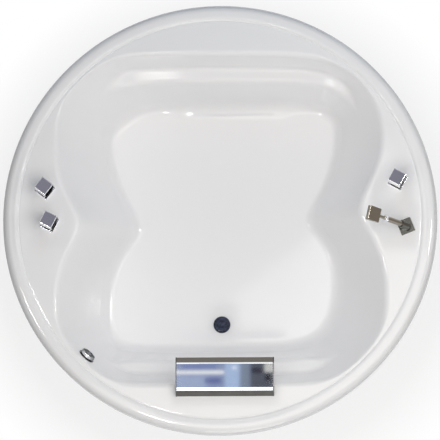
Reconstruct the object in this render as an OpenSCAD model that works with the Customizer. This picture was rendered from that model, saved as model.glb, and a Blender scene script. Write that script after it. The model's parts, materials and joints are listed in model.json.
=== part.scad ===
// Round two-person bathtub: moulded shell, steel frame, waste and overflow,
// three deck taps, pull-out hand shower and a cascade spout.
// Lengths are in millimetres, angles in degrees. The tub stands on z = 0.
// X runs to the tub's right, Y runs away from the cascade spout.

/* [Shell] */
// Outer diameter of the rim
rim_d = 1800; // [1700:10:1900]
// Height of the deck above the floor of the room
deck_z = 644; // [600:1:700]
// Depth of the well below the deck
well_depth = 445; // [380:5:480]
// Wall of the shell, acrylic and laminate together
shell_t = 8; // [6:0.5:12]
// Rise of the rim's crown above the deck
rim_rise = 10; // [4:1:20]
// Width of the rounded rim outside its groove
rim_w = 66; // [55:1:80]
// Radius of the rim's outer roll
rim_roll_r = 30; // [20:1:36]
// Length of the lip below the roll
lip_drop = 26; // [10:1:40]

/* [Well edge] */
// Distance of the well's edge in from the rim's outside: right, back, left and front
edge_inset = [209, 207, 220, 211]; // [140:1:300]
// The same for the edge's corners: back right, back left, front left, front right
corner_inset = [78, 77, 87, 77]; // [76:1:140]
// How tightly each corner of the edge turns
edge_tight = [18, 28, 30, 30]; // [6:1:40]
// Right waist of the edge: depth, direction, spread
edge_waist_right = [112, 4, 14.5]; // [0:0.5:130]
// Left waist of the edge: depth, direction, spread
edge_waist_left = [98, 181.5, 13]; // [0:0.5:190]
// Radius of the roll from the deck into the well
edge_roll = 26; // [10:1:40]

/* [Well floor] */
// Run of the wall from its edge to its foot: right, back, left and front
wall_run = [200, 140, 185, 205]; // [90:1:260]
// The same at the corners: back right, back left, front left, front right
corner_run = [134, 179, 80, 223]; // [60:1:260]
// How tightly each corner of the foot turns
foot_tight = [30, 30, 11.5, 13.5]; // [6:0.5:40]
// Right waist of the foot: depth, direction, spread
foot_waist_right = [117, 11, 18]; // [0:1:150]
// Left waist of the foot: depth, direction, spread
foot_waist_left = [128, 174, 20]; // [0:1:190]
// Height of the rounding at the foot of the wall
foot_rise = 62; // [30:1:90]
// Width of that rounding on the floor
foot_run = 40; // [20:1:60]
// Extra width of the rounding below the back ledge
foot_run_back = 48; // [0:1:70]

/* [Ledges] */
// Depth of the ledges below the deck, at the wall
ledge_depth = 172; // [120:1:220]
// Fall of the ledges towards the well
ledge_fall = 24; // [8:1:40]
// Shares of the wall's slope taken above and by the back ledge
ledge_back = [0.17, 0.44]; // [0.05:0.01:0.6]
// Shares of the wall's slope taken above and by the front ledge
ledge_front = [0.31, 0.3]; // [0.05:0.01:0.6]
// Directions of the back ledge's middle and half width
ledge_back_span = [86, 40]; // [20:1:100]
// Directions of the front ledge's middle and half width
ledge_front_span = [270, 36]; // [20:1:290]
// Length over which a ledge fades, in degrees
ledge_fade = 12; // [4:1:20]

/* [Frame] */
// Width of the square rails
rail_w = 40; // [30:1:50]
// Width of the square posts
post_w = 25; // [20:1:26]
// Wall of rails and posts
steel_t = 2; // [1.5:0.1:3]
// Distance of the posts' middles in from the rim's outside
post_inset = 35; // [34:1:40]
// Place of the side rails left and right of the middle
side_rail_x = 520; // [480:1:560]
// Place of the front cross rail
front_rail_y = -250; // [-280:1:-200]
// Place of the middle cross rail, clear of the taps' supply tails
middle_rail_y = 250; // [240:1:280]
// Place of the back cross rail
back_rail_y = 450; // [400:1:460]
// Place of the front posts left and right of the middle, under the front deck board
front_post_x = 215; // [212:1:225]
// Distance of the front posts in from the rim's outside
front_post_inset = 172; // [160:1:174]
// Place of the inner feet along the side rails
inner_foot_y = -120; // [-200:1:150]
// Thickness of the base board under the floor
board_t = 18; // [12:1:25]
// Thickness of the boards under the deck
deck_board_t = 16; // [12:1:20]
// Travel of the levelling feet
foot_travel = 30; // [10:1:40]
// Diameter of the feet's threaded studs
stud_d = 12; // [10:1:16]
// Diameter of the feet's pads
pad_d = 50; // [40:1:60]

/* [Waste and overflow] */
// Place of the waste on the floor
waste_pos = [-7, -376]; // [-420:1:60]
// Diameter of the waste flange
waste_d = 70; // [64:1:80]
// Diameter of the pop-up plug
plug_d = 60; // [50:1:62]
// Travel of the pop-up plug
plug_travel = 7; // [4:0.5:9]
// Diameter of the trap's outlet
outlet_d = 40; // [38:1:50]
// Direction of the overflow round the tub
overflow_dir = 225.5; // [215:0.5:235]
// Depth of the overflow's middle below the deck
overflow_depth = 52; // [48:1:90]
// Diameter of the overflow's face ring
overflow_d = 72; // [64:1:80]
// Diameter of the overflow's turning knob
overflow_knob_d = 62; // [50:1:64]
// Diameter of the overflow pipe
overflow_pipe_d = 28; // [25:1:32]

/* [Deck taps] */
// Distance of the hot tap, the cold tap and the diverter in from the rim's outside
tap_inset = [163, 193, 148]; // [140:1:210]
// Directions of the hot tap, the cold tap and the diverter round the tub
tap_dir = [170, 181, 12]; // [0:1:190]
// How far each tap is turned
tap_turn = [-38, -27, -28]; // [-60:1:60]
// Side of the square handle cap
cap_w = 56; // [50:1:62]
// Height of the square handle cap
cap_h = 62; // [40:1:66]
// Diameter of the neck under the cap
neck_d = 30; // [24:1:36]
// Height of the neck under the cap
neck_h = 28; // [20:1:34]
// Side of the square cover plate
plate_w = 63; // [60:1:70]
// Height of the square cover plate
plate_h = 9; // [7:0.5:12]
// Diameter of the handle's spindle
spindle_d = 10; // [8:0.5:12]
// Diameter of the pipes under the deck
pipe_d = 20; // [16:1:20]
// Distance of the pipes round the well in from the rim's outside
pipe_inset = 66; // [65:1:68]

/* [Hand shower] */
// Distance of the hand shower's holder in from the rim's outside
shower_inset = 129; // [120:1:150]
// Direction of the holder round the tub
shower_at = -2.6; // [-6:0.1:0]
// How far the holder's plate is turned
shower_turn = 22; // [0:1:45]
// Side of the holder's square plate
shower_plate_w = 60; // [54:1:66]
// Direction in which the hand shower leans
shower_dir = 167; // [150:1:185]
// Rise of the hand shower above the level
shower_rise = 40; // [25:1:50]
// Diameter of the hand shower's handle
handle_d = 23; // [20:1:26]
// Length of the handle up to its collar
handle_len = 104; // [80:1:130]
// Width of the square head
head_w = 60; // [50:1:70]
// Thickness of the head
head_t = 18; // [14:1:24]

/* [Cascade spout] */
// Middle of the spout across the tub
spout_x = 21; // [0:1:30]
// Width of the spout
spout_w = 407; // [380:1:420]
// Distance of the spout's outer foot in from the rim's outside
spout_inset = 159; // [145:1:162]
// Run of the sloping back of the spout
spout_back_run = 20; // [10:1:30]
// Run of the flat top of the spout
spout_top_run = 113; // [100:1:120]
// Run of the sloping nose of the spout
spout_nose_run = 26; // [15:1:35]
// Height of the top's outer edge above the deck
spout_back_h = 48; // [44:1:60]
// Height of the top's inner edge above the deck
spout_front_h = 44; // [40:1:56]
// Height of the nose's lip above the deck
spout_lip_h = 22; // [18:1:28]
// Thickness of the spout's sheet
spout_t = 3; // [2:0.5:4]
// Thickness of the spout's end plates
spout_end_t = 5; // [4:0.5:8]

/* [Hidden] */

$fn = 64;
// Gap between pieces that move past each other
run_gap = 0.4;
// Radial gap of a turning fit
fit_gap = 0.05;
// Radial gap round what passes through a hole
hole_gap = 1;
// Gap left between a flat piece and a moulded wall
seat_gap = 0.2;
// Sides of the shell round the tub
shell_sides = 96;

// Levels of the build, from the deck down
rim_r = rim_d / 2;
floor_z = deck_z - well_depth;
floor_under = floor_z - shell_t;
deck_under = deck_z - shell_t;
deck_board_z = deck_under - deck_board_t;
cross_rail_z = floor_under - board_t - rail_w;
side_rail_z = cross_rail_z - rail_w;
rim_top = deck_z + rim_rise;
groove_r = rim_r - rim_w;
deck_r = groove_r - 4;
lip_z = rim_top - rim_roll_r - lip_drop;

// Places set by their distance in from the rim
edge_walls = [for (d = edge_inset) rim_r - d];
edge_corners = [for (d = corner_inset) rim_r - d];
foot_walls = edge_walls - wall_run;
foot_corners = edge_corners - corner_run;
post_r = rim_r - post_inset;
pipe_r = rim_r - pipe_inset;
spout_foot_y = spout_inset - rim_r;

// Small tools

function lerp(a, b, t) = a + (b - a) * t;
function ease(t) = let (c = max(0, min(1, t))) c * c * (3 - 2 * c);
function turn_between(a, b) = let (d = (a - b) % 360) min(abs(d), 360 - abs(d));
function unit(v) = v / norm(v);
function polar(r, a) = [r * cos(a), r * sin(a)];
tap_pos = [for (k = [0 : 2]) polar(rim_r - tap_inset[k], tap_dir[k])];
shower_pos = polar(rim_r - shower_inset, shower_at);

// A square with rounded corners, about its middle
module rounded_square(side, r) {
    inner = side - 2 * r;
    square([side, inner], center = true);
    square([inner, side], center = true);
    for (x = [-1, 1], y = [-1, 1])
        translate([x * inner / 2, y * inner / 2]) circle(r = r);
}

// A straight tube along z, from z = 0
module tube(outer, inner, length) {
    difference() {
        cylinder(d = outer, h = length);
        translate([0, 0, -1]) cylinder(d = inner, h = length + 2);
    }
}

// Turns what stands along z so that it runs level in direction a
module level_towards(a) {
    rotate([0, 0, a]) rotate([0, 90, 0]) children();
}

// Shape of the well

// A blend of four corner values, each strongest on its own diagonal
function by_corner(a, v) =
    let (w = [for (q = [45 : 90 : 315]) pow(max(0, cos(a - q)), 4)])
    (w * v) / (w * [1, 1, 1, 1]);
function waist(a, w) = w[0] * exp(-pow(turn_between(a, w[1]) / w[2], 2));
function outline(a, walls, corners, tight, waist_right, waist_left) =
    let (p = by_corner(a, tight),
        reach = [walls[0] - waist(a, waist_right), walls[1], walls[2] - waist(a, waist_left), walls[3]],
        lean = [for (k = [0 : 3]) max(cos(a - 90 * k), 0.001) / reach[k]],
        corner = 1 / by_corner(a, corners))
    pow(pow(corner, p) + pow(lean[0], p) + pow(lean[1], p) + pow(lean[2], p) + pow(lean[3], p), -1 / p);
function edge_reach(a) = outline(a, edge_walls, edge_corners, edge_tight, edge_waist_right, edge_waist_left);
function foot_reach(a) = outline(a, foot_walls, foot_corners, foot_tight, foot_waist_right, foot_waist_left);
function ledge_weight(a, span) = ease((span[1] + ledge_fade / 2 - turn_between(a, span[0])) / ledge_fade);

// Corners of the wall's section in direction a: groove, edge, ledge top, ledge lip, foot, floor
function section(a) =
    let (edge = edge_reach(a), foot = foot_reach(a),
        back = ledge_weight(a, ledge_back_span), front = ledge_weight(a, ledge_front_span),
        plain_top = ledge_depth / well_depth,
        plain_lip = (ledge_depth + ledge_fall) / well_depth,
        top = plain_top + back * (ledge_back[0] - plain_top) + front * (ledge_front[0] - plain_top),
        lip = plain_lip + back * (ledge_back[0] + ledge_back[1] - plain_lip)
            + front * (ledge_front[0] + ledge_front[1] - plain_lip))
    [[deck_r, deck_z], [edge, deck_z], [lerp(edge, foot, top), deck_z - ledge_depth],
        [lerp(edge, foot, lip), deck_z - ledge_depth - ledge_fall], [foot, floor_z], [0, floor_z]];
function foot_width(a) = foot_run + foot_run_back * (1 - ease((turn_between(a, ledge_back_span[0]) - 18) / 12));

// The section moved outwards and down by the wall
function side_of(a, b) = let (d = unit(b - a)) [-d[1], d[0]];
function outer_corner(s, k, t) =
    let (n1 = side_of(s[k - 1], s[k]), n2 = side_of(s[k], s[k + 1]))
    s[k] + t * (n1 + n2) / (1 + n1 * n2);
function outer_section(s, t) = concat([s[0] - [0, t]], [for (k = [1 : 4]) outer_corner(s, k, t)], [s[5] - [0, t]]);

// Points of a rounded corner, each leg cut back by its own length
function bend(s, k, before, after, steps) =
    let (a = s[k] + unit(s[k - 1] - s[k]) * min(before, 0.45 * norm(s[k - 1] - s[k])),
        b = s[k] + unit(s[k + 1] - s[k]) * min(after, 0.45 * norm(s[k + 1] - s[k])))
    [for (i = [0 : steps]) let (t = i / steps) lerp(lerp(a, s[k], t), lerp(s[k], b, t), t)];

// The rim's section, from the lip over the crown to the groove
function rim_section() = concat(
    [[rim_r, lip_z], [rim_r, lip_z + lip_drop / 2]],
    [for (q = [0 : 15 : 90]) [rim_r - rim_roll_r, rim_top - rim_roll_r] + rim_roll_r * [cos(q), sin(q)]],
    [[lerp(rim_r - rim_roll_r, groove_r, 0.5), rim_top - 0.5], [groove_r + 10, rim_top - 2.5],
        [groove_r + 4, deck_z + 3], [groove_r, deck_z - 1.5], [deck_r, deck_z]]);
function lip_section() = [[rim_r - shell_t, lip_z], [rim_r - shell_t, deck_under - 12],
    [rim_r - shell_t - 8, deck_under], [groove_r + shell_t, deck_under]];

// One closed section: from the floor's middle up, over the rim and back under
function inside(a) = let (s = section(a), run = foot_width(a))
    concat(rim_section(), bend(s, 1, edge_roll * 0.8, edge_roll, 5), bend(s, 2, 18, 20, 3),
        bend(s, 3, 22, 24, 3), bend(s, 4, foot_rise, run, 6),
        [for (t = [0.3, 0.65]) [lerp(s[4][0] - run, 0, t), floor_z]]);
function underside(a) = let (s = outer_section(section(a), shell_t))
    concat(lip_section(), bend(s, 1, 6, edge_roll - shell_t, 2), bend(s, 2, 20, 20, 1),
        bend(s, 3, 20, 20, 1), bend(s, 4, foot_rise - shell_t, foot_run, 3), [[s[4][0] / 2, floor_under]]);

module well_solid() {
    sections = [for (k = [0 : shell_sides - 1]) let (a = k * 360 / shell_sides, top = inside(a))
        concat([for (i = [len(top) - 1 : -1 : 0]) top[i]], underside(a))];
    rings = len(sections[0]);
    spots = concat([for (k = [0 : shell_sides - 1], p = sections[k])
            [p[0] * cos(k * 360 / shell_sides), p[0] * sin(k * 360 / shell_sides), p[1]]],
        [[0, 0, floor_z], [0, 0, floor_under]]);
    mid_top = len(spots) - 2;
    mid_under = len(spots) - 1;
    sides = [for (k = [0 : shell_sides - 1], i = [0 : rings - 2])
        let (next = (k + 1) % shell_sides, a = k * rings + i, b = next * rings + i)
        each [[a, b, a + 1], [b, b + 1, a + 1]]];
    caps = [for (k = [0 : shell_sides - 1]) let (next = (k + 1) % shell_sides)
        each [[mid_top, next * rings, k * rings], [mid_under, (k + 1) * rings - 1, (next + 1) * rings - 1]]];
    polyhedron(points = spots, faces = concat(sides, caps), convexity = 8);
}

// Overflow: its own axis leaves the well square to the wall

overflow_edge = edge_reach(overflow_dir);
overflow_lean = atan((overflow_edge - foot_reach(overflow_dir)) / well_depth);
overflow_r = overflow_edge - overflow_depth * tan(overflow_lean);
module at_overflow() {
    translate(concat(polar(overflow_r, overflow_dir), [deck_z - overflow_depth]))
        rotate([0, 0, overflow_dir]) rotate([0, 90 + overflow_lean, 0]) children();
}

overflow_tail_d = 50;
overflow_gasket_t = 3;
overflow_body_s = shell_t + seat_gap + overflow_gasket_t;
overflow_body_l = 34;
overflow_hub_t = 6;

// Places where the fittings pass through the deck

valve_neck_d = 26;
shower_neck_d = 20;
riser_d = 14;
spout_stud_d = 8;
spout_fix_y = spout_foot_y + 19;
spout_stud_x = [-150, 150];
waste_tail_d = 46;

module tub_shell() {
    color("white") difference() {
        well_solid();
        translate([waste_pos[0], waste_pos[1], floor_under - 1]) {
            cylinder(d = waste_tail_d + 2 * hole_gap, h = shell_t + 2);
            translate([0, 0, shell_t - 1]) cylinder(d = waste_d + 2 * hole_gap, h = 3);
        }
        at_overflow() {
            translate([0, 0, -40]) cylinder(d = overflow_tail_d + 2 * hole_gap, h = 80);
            translate([0, 0, -10]) cylinder(d = overflow_d + 2 * hole_gap, h = 10);
        }
        for (p = tap_pos) deck_hole(p, valve_neck_d);
        deck_hole(shower_pos, shower_neck_d);
        deck_hole([spout_x, spout_fix_y], riser_d);
        for (x = spout_stud_x) deck_hole([spout_x + x, spout_fix_y], spout_stud_d);
    }
}

module deck_hole(p, d) {
    translate([p[0], p[1], deck_under - deck_board_t - 1])
        cylinder(d = d + 2 * hole_gap, h = shell_t + deck_board_t + 2);
}

// Support frame

post_y = sqrt(post_r * post_r - side_rail_x * side_rail_x);
middle_post_x = sqrt(post_r * post_r - middle_rail_y * middle_rail_y);
post_plug_h = 30;
post_cap_d = 36;
post_cap_t = 4;
stud_engaged = 35;
lock_nut_h = 8;
front_post_y = front_post_inset - rim_r;
rail_end = 30;
arm_lap = 1;
post_pos = [[-front_post_x, front_post_y], [front_post_x, front_post_y], [-side_rail_x, post_y],
    [side_rail_x, post_y], [-middle_post_x, middle_rail_y], [middle_post_x, middle_rail_y]];
foot_pos = concat(post_pos, [[-side_rail_x, inner_foot_y], [side_rail_x, inner_foot_y]]);

module square_tube(w, length) {
    linear_extrude(length) difference() {
        square(w, center = true);
        square(w - 2 * steel_t, center = true);
    }
}

// Left and right side rails, with a hole for the inner foot's stud
module side_rail(side) {
    back = post_y - post_w / 2;
    front = front_rail_y - rail_w / 2 - rail_end;
    color("dimgray") difference() {
        translate([side * side_rail_x, back, side_rail_z + rail_w / 2])
            rotate([90, 0, 0]) square_tube(rail_w, back - front);
        translate([side * side_rail_x, inner_foot_y, side_rail_z - 1])
            cylinder(d = stud_d + 2 * fit_gap, h = steel_t + 2);
    }
}

module cross_rail(y, reach) {
    color("dimgray") translate([-reach, y, cross_rail_z + rail_w / 2])
        rotate([90, 0, 90]) square_tube(rail_w, 2 * reach);
}

// A front post with the arm welded to its foot, which runs back under the front cross rail
module front_post(p) {
    back = front_rail_y + rail_w / 2;
    front = p[1] + post_w / 2 - arm_lap;
    post(p, deck_board_z);
    color("dimgray") translate([p[0], back, side_rail_z + rail_w / 2])
        rotate([90, 0, 0]) square_tube(rail_w, back - front);
}

// A post up to the level of what it carries
module post(p, carries) {
    top = carries - post_cap_t;
    color("dimgray") translate([p[0], p[1], 0]) {
        translate([0, 0, side_rail_z]) difference() {
            linear_extrude(top - side_rail_z) square(post_w, center = true);
            translate([0, 0, post_plug_h])
                linear_extrude(top - side_rail_z) square(post_w - 2 * steel_t, center = true);
            translate([0, 0, -1]) cylinder(d = stud_d + 2 * fit_gap, h = post_plug_h + 2);
        }
        translate([0, 0, top]) cylinder(d = post_cap_d, h = post_cap_t);
    }
}

// A levelling foot: pad, swivel collar and threaded stud in one
module levelling_foot(p) {
    pad_h = 8;
    collar_h = 12;
    color("black") translate([p[0], p[1], 0]) {
        cylinder(d = pad_d, h = pad_h);
        translate([0, 0, pad_h]) cylinder(d1 = pad_d - 8, d2 = stud_d + 8, h = collar_h);
        translate([0, 0, pad_h + collar_h]) cylinder(d = stud_d, h = side_rail_z + stud_engaged - pad_h - collar_h);
    }
}

module foot_lock_nuts() {
    color("silver") for (p = foot_pos) translate([p[0], p[1], side_rail_z - lock_nut_h]) difference() {
        cylinder(d = 2 * stud_d, h = lock_nut_h, $fn = 6);
        translate([0, 0, -1]) cylinder(d = stud_d + 2 * fit_gap, h = lock_nut_h + 2);
    }
}

// Boards bonded under the shell

board_end = 60;
board_waste_gap = 28;
board_side_gap = 111;
module base_board() {
    front = waste_pos[1] + waste_body_d / 2 + board_waste_gap;
    back = back_rail_y + rail_w / 2 + board_end;
    half = foot_walls[0] - board_side_gap;
    color("tan") translate([-half, front, floor_under - board_t]) cube([2 * half, back - front, board_t]);
}

module deck_board(x0, x1, y0, y1) {
    translate([x0, y0, deck_board_z]) cube([x1 - x0, y1 - y0, deck_board_t]);
}

deck_board_side = 280;
deck_board_wall_gap = 19;
deck_board_post_gap = 52;
deck_board_out = post_r - post_w / 2 - deck_board_post_gap;
deck_board_end = 50;
deck_board_web = 4;
valve_clear = valve_neck_d / 2 + hole_gap + deck_board_web;
module front_deck_board() {
    color("tan") difference() {
        deck_board(spout_x - deck_board_side, spout_x + deck_board_side, -deck_board_out,
            -edge_walls[3] - deck_board_wall_gap);
        deck_hole([spout_x, spout_fix_y], riser_d);
        for (x = spout_stud_x) deck_hole([spout_x + x, spout_fix_y], spout_stud_d);
    }
}
module back_deck_board() {
    color("tan") deck_board(-deck_board_side, deck_board_side,
        edge_walls[1] + deck_board_wall_gap, deck_board_out);
}
module left_deck_board() {
    color("tan") difference() {
        deck_board(-deck_board_out, max(tap_pos[0][0], tap_pos[1][0]) + valve_clear,
            tap_pos[1][1] - deck_board_end, tap_pos[0][1] + deck_board_end);
        for (k = [0, 1]) deck_hole(tap_pos[k], valve_neck_d);
    }
}
module right_deck_board() {
    color("tan") difference() {
        deck_board(tap_pos[2][0] - valve_clear, deck_board_out,
            shower_pos[1] - deck_board_end, tap_pos[2][1] + deck_board_end);
        deck_hole(tap_pos[2], valve_neck_d);
        deck_hole(shower_pos, shower_neck_d);
    }
}

// Waste: flange and plug above, body and bottle trap below the floor

flange_in = 1;
flange_h = 5;
seat_h = 3;
waste_bore_d = 38;
hub_d = 14;
hub_h = 12;
stem_d = 8;
waste_tail_h = 31;
gasket_t = 3;
waste_body_d = 84;
waste_body_h = 33;
waste_top_t = 6;
waste_wall = 4;
dip_d = 40;
dip_bore_d = 34;
trap_z = 34;
trap_h = 62;
trap_d = 86;
outlet_z = trap_z + 36;
overflow_port_z = floor_under - gasket_t - waste_body_h / 2;

module at_waste(z) {
    translate([waste_pos[0], waste_pos[1], z]) children();
}

module waste_flange() {
    top = floor_z - flange_in + flange_h;
    tail_z = floor_z - flange_in - waste_tail_h;
    color("silver") at_waste(0) {
        difference() {
            union() {
                translate([0, 0, floor_z - flange_in]) cylinder(d = waste_d, h = flange_h);
                translate([0, 0, tail_z]) cylinder(d = waste_tail_d, h = waste_tail_h + flange_h / 2);
            }
            translate([0, 0, tail_z - 1]) cylinder(d = waste_bore_d, h = waste_tail_h + flange_h + 2);
            translate([0, 0, top - seat_h]) cylinder(d = plug_d + 2, h = seat_h + 1);
        }
        translate([0, 0, tail_z]) difference() {
            union() {
                cylinder(d = hub_d, h = hub_h);
                for (a = [90, 210, 330]) rotate([0, 0, a]) translate([0, -1.5, 0])
                    cube([waste_bore_d / 2 + 1, 3, hub_h]);
            }
            translate([0, 0, -1]) cylinder(d = stem_d + 2 * fit_gap, h = hub_h + 2);
        }
    }
}

// Shown raised, as far as it opens
module waste_plug() {
    cap_z = floor_z - flange_in + flange_h - seat_h + plug_travel + run_gap;
    color("dimgray") at_waste(0) {
        translate([0, 0, cap_z]) cylinder(d = plug_d, h = 4);
        translate([0, 0, floor_z - flange_in - waste_tail_h - 2]) cylinder(d = stem_d, h = cap_z - floor_z + waste_tail_h + 4);
    }
}

module waste_gasket() {
    color("black") at_waste(floor_under - gasket_t)
        tube(waste_body_d - 4, waste_tail_d + 2 * hole_gap, gasket_t);
}

module waste_body() {
    top = floor_under - gasket_t;
    bottom = top - waste_body_h;
    dip_z = trap_z + 20;
    color("whitesmoke") difference() {
        union() {
            at_waste(bottom) cylinder(d = waste_body_d, h = waste_body_h);
            at_waste(dip_z) cylinder(d = dip_d, h = bottom - dip_z + 1);
            at_waste(overflow_port_z) level_towards(overflow_run_dir) {
                cylinder(d = socket_d, h = waste_port_r);
                translate([0, cable_side, 0]) cylinder(d = gland_d, h = waste_port_r);
            }
        }
        at_waste(bottom + waste_wall)
            cylinder(d = waste_body_d - 2 * waste_wall, h = waste_body_h - waste_wall - waste_top_t);
        at_waste(top - waste_top_t - 1) cylinder(d = waste_tail_d + 2 * fit_gap, h = waste_top_t + 2);
        at_waste(dip_z - 1) cylinder(d = dip_bore_d, h = bottom + waste_wall - dip_z + 2);
        at_waste(overflow_port_z) level_towards(overflow_run_dir) {
            cylinder(d = overflow_pipe_d - 2 * overflow_wall, h = waste_body_d);
            translate([0, 0, waste_port_r - socket_l])
                cylinder(d = overflow_pipe_d + 2 * fit_gap, h = socket_l + 1);
            translate([0, cable_side, waste_port_r - socket_l])
                cylinder(d = cable_d + 2 * fit_gap, h = socket_l + 1);
        }
    }
}

module trap_nut() {
    color("whitesmoke") at_waste(trap_z + trap_h) difference() {
        cylinder(d = 60, h = 18, $fn = 12);
        translate([0, 0, -1]) cylinder(d = dip_d + 2 * fit_gap, h = 20);
    }
}

module trap_cup() {
    color("whitesmoke") at_waste(trap_z) difference() {
        cylinder(d = trap_d, h = trap_h);
        translate([0, 0, waste_wall]) cylinder(d = trap_d - 2 * waste_wall, h = trap_h - 2 * waste_wall);
        translate([0, 0, trap_h - waste_wall - 1]) cylinder(d = dip_d + 2 * fit_gap, h = waste_wall + 2);
        translate([0, 0, outlet_z - trap_z]) level_towards(-90) cylinder(d = outlet_d + 2 * fit_gap, h = trap_d);
    }
}

module trap_outlet() {
    start = trap_d / 2 - waste_wall + 1;
    collar = trap_d / 2 + 1;
    reach = 150;
    color("whitesmoke") at_waste(outlet_z) level_towards(-90) difference() {
        union() {
            translate([0, 0, start]) cylinder(d = outlet_d, h = reach - start);
            translate([0, 0, collar]) cylinder(d = outlet_d + 12, h = 14);
        }
        translate([0, 0, start - 1]) cylinder(d = outlet_d - 6, h = reach - start + 2);
    }
}

// Overflow: face and knob in the well, body and pipe behind the wall

overflow_ring_t = 3;
knob_l = 14;
knob_gap = 2.5;
knob_stem_d = 8;
overflow_body_d = 66;
pipe_drop_s = overflow_body_s + overflow_body_l / 2;
pipe_drop_r = overflow_r + pipe_drop_s * cos(overflow_lean);
pipe_drop = polar(pipe_drop_r, overflow_dir);
pipe_drop_z = deck_z - overflow_depth - pipe_drop_s * sin(overflow_lean) - overflow_body_d / 2;
overflow_run = [waste_pos[0] - pipe_drop[0], waste_pos[1] - pipe_drop[1]];
overflow_run_dir = atan2(-overflow_run[1], -overflow_run[0]);
pipe_bend_r = 60;
overflow_wall = 3;
socket_l = 12;
socket_d = overflow_pipe_d + 4;
port_z = pipe_drop_z - socket_l;
waste_port_r = waste_body_d / 2 + 14;
cable_d = 6;
cable_gap = 11;
cable_side = (overflow_pipe_d + cable_d) / 2 + cable_gap;
gland_d = 14;
cable_top_z = pipe_drop_z + overflow_body_d / 2 - 12;

module overflow_face() {
    color("silver") at_overflow() {
        translate([0, 0, -overflow_ring_t])
            tube(overflow_d, overflow_tail_d - 10, overflow_ring_t);
        translate([0, 0, -1])
            tube(overflow_tail_d, overflow_tail_d - 10, overflow_body_s + 12);
    }
}

module overflow_knob() {
    front = -overflow_ring_t - knob_gap;
    color("silver") at_overflow() {
        translate([0, 0, front - knob_l]) cylinder(d = overflow_knob_d, h = knob_l);
        translate([0, 0, front - 1])
            cylinder(d = knob_stem_d, h = overflow_body_s + overflow_body_l - front - 1);
    }
}

module overflow_gasket() {
    color("black") at_overflow() translate([0, 0, shell_t + seat_gap])
        tube(overflow_d - 6, overflow_tail_d + 2 * hole_gap, overflow_gasket_t);
}

module overflow_body() {
    deep = overflow_body_l - overflow_hub_t;
    color("whitesmoke") difference() {
        union() {
            at_overflow() translate([0, 0, overflow_body_s]) cylinder(d = overflow_body_d, h = overflow_body_l);
            translate([pipe_drop[0], pipe_drop[1], port_z]) cylinder(d = socket_d, h = socket_l + 26);
            translate([pipe_drop[0], pipe_drop[1], 0]) rotate([0, 0, overflow_run_dir + 180])
                translate([0, -cable_side, cable_top_z - socket_l]) cylinder(d = gland_d, h = socket_l + 12);
        }
        at_overflow() {
            translate([0, 0, overflow_body_s - 1]) cylinder(d = overflow_tail_d + 2 * fit_gap, h = 14);
            translate([0, 0, overflow_body_s + 12])
                cylinder(d = overflow_tail_d + 4, h = deep - 12);
            translate([0, 0, overflow_body_s])
                cylinder(d = knob_stem_d + 2 * fit_gap, h = overflow_body_l + 1);
        }
        translate([pipe_drop[0], pipe_drop[1], 0]) rotate([0, 0, overflow_run_dir + 180])
            translate([0, -cable_side, cable_top_z - socket_l]) cylinder(d = cable_d + 2 * fit_gap, h = socket_l + 0.2);
        translate([pipe_drop[0], pipe_drop[1], port_z - 1]) {
            cylinder(d = overflow_pipe_d - 2 * overflow_wall, h = socket_l + 31);
            cylinder(d = overflow_pipe_d + 2 * fit_gap, h = socket_l + 1);
        }
    }
}

// A tube that drops beside the overflow, turns through one bend and runs level to the waste body,
// moved sideways by its own distance
module drop_and_run(d, bore, side, top_z, run_z, bend_r) {
    length = norm(overflow_run) - waste_port_r + socket_l - seat_gap;
    translate([pipe_drop[0], pipe_drop[1], 0]) rotate([0, 0, overflow_run_dir + 180]) translate([0, side, 0])
        difference() {
            bent_rod(d, 0, length, top_z, run_z, bend_r);
            if (bore > 0) bent_rod(bore, 1, length, top_z, run_z, bend_r);
        }
}
module bent_rod(d, over, length, top_z, run_z, bend_r) {
    mid_z = run_z + bend_r;
    translate([0, 0, mid_z]) cylinder(d = d, h = top_z - mid_z + over);
    translate([bend_r, 0, mid_z]) rotate([90, 0, 0])
        intersection() {
            rotate_extrude() translate([bend_r, 0]) circle(d = d);
            translate([-2 * bend_r, -2 * bend_r, -d]) cube([2 * bend_r, 2 * bend_r, 2 * d]);
        }
    translate([bend_r, 0, run_z]) rotate([0, 90, 0]) cylinder(d = d, h = length - bend_r + over);
}

module overflow_pipe() {
    color("whitesmoke") drop_and_run(overflow_pipe_d, overflow_pipe_d - 2 * overflow_wall, 0,
        pipe_drop_z - seat_gap, overflow_port_z, pipe_bend_r);
}

// The knob's cable lies along the outer side of the overflow pipe, down to the waste body
module plug_cable() {
    color("dimgray") drop_and_run(cable_d, 0, -cable_side, cable_top_z, overflow_port_z, 50);
}

// Deck taps: cover plate, turning handle, valve and nut at each place

valve_d = 40;
valve_drop = 95;
valve_z = deck_z - valve_drop;
boss_d = 26;
boss_l = 34;
bore_d = pipe_d - 6;
high_z = deck_board_z - 28;
low_z = high_z - 30;
tail_l = 99;
nipple_d = 20.96;
nipple_l = 15;
deck_nut_h = 5;
deck_nut_d = 40;
fitting_w = 28;
pipe_lap = 8;
tee_mid = (tap_pos[0] + tap_pos[1]) / 2;
tee_dir = atan2(tee_mid[1], tee_mid[0]);
diverter_dir = atan2(tap_pos[2][1], tap_pos[2][0]);
spout_pipe_dir = -76;

function direction(from, to) = atan2(to[1] - from[1], to[0] - from[0]);

module cover_plate(k) {
    color("silver") translate([tap_pos[k][0], tap_pos[k][1], deck_z]) rotate([0, 0, tap_turn[k]])
        difference() {
            linear_extrude(plate_h) rounded_square(plate_w, 2);
            translate([0, 0, -1]) cylinder(d = deck_nut_d + 4, h = plate_h - 2 + 1);
            translate([0, 0, -1]) cylinder(d = spindle_d + 2 * hole_gap, h = plate_h + 2);
        }
}

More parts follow.
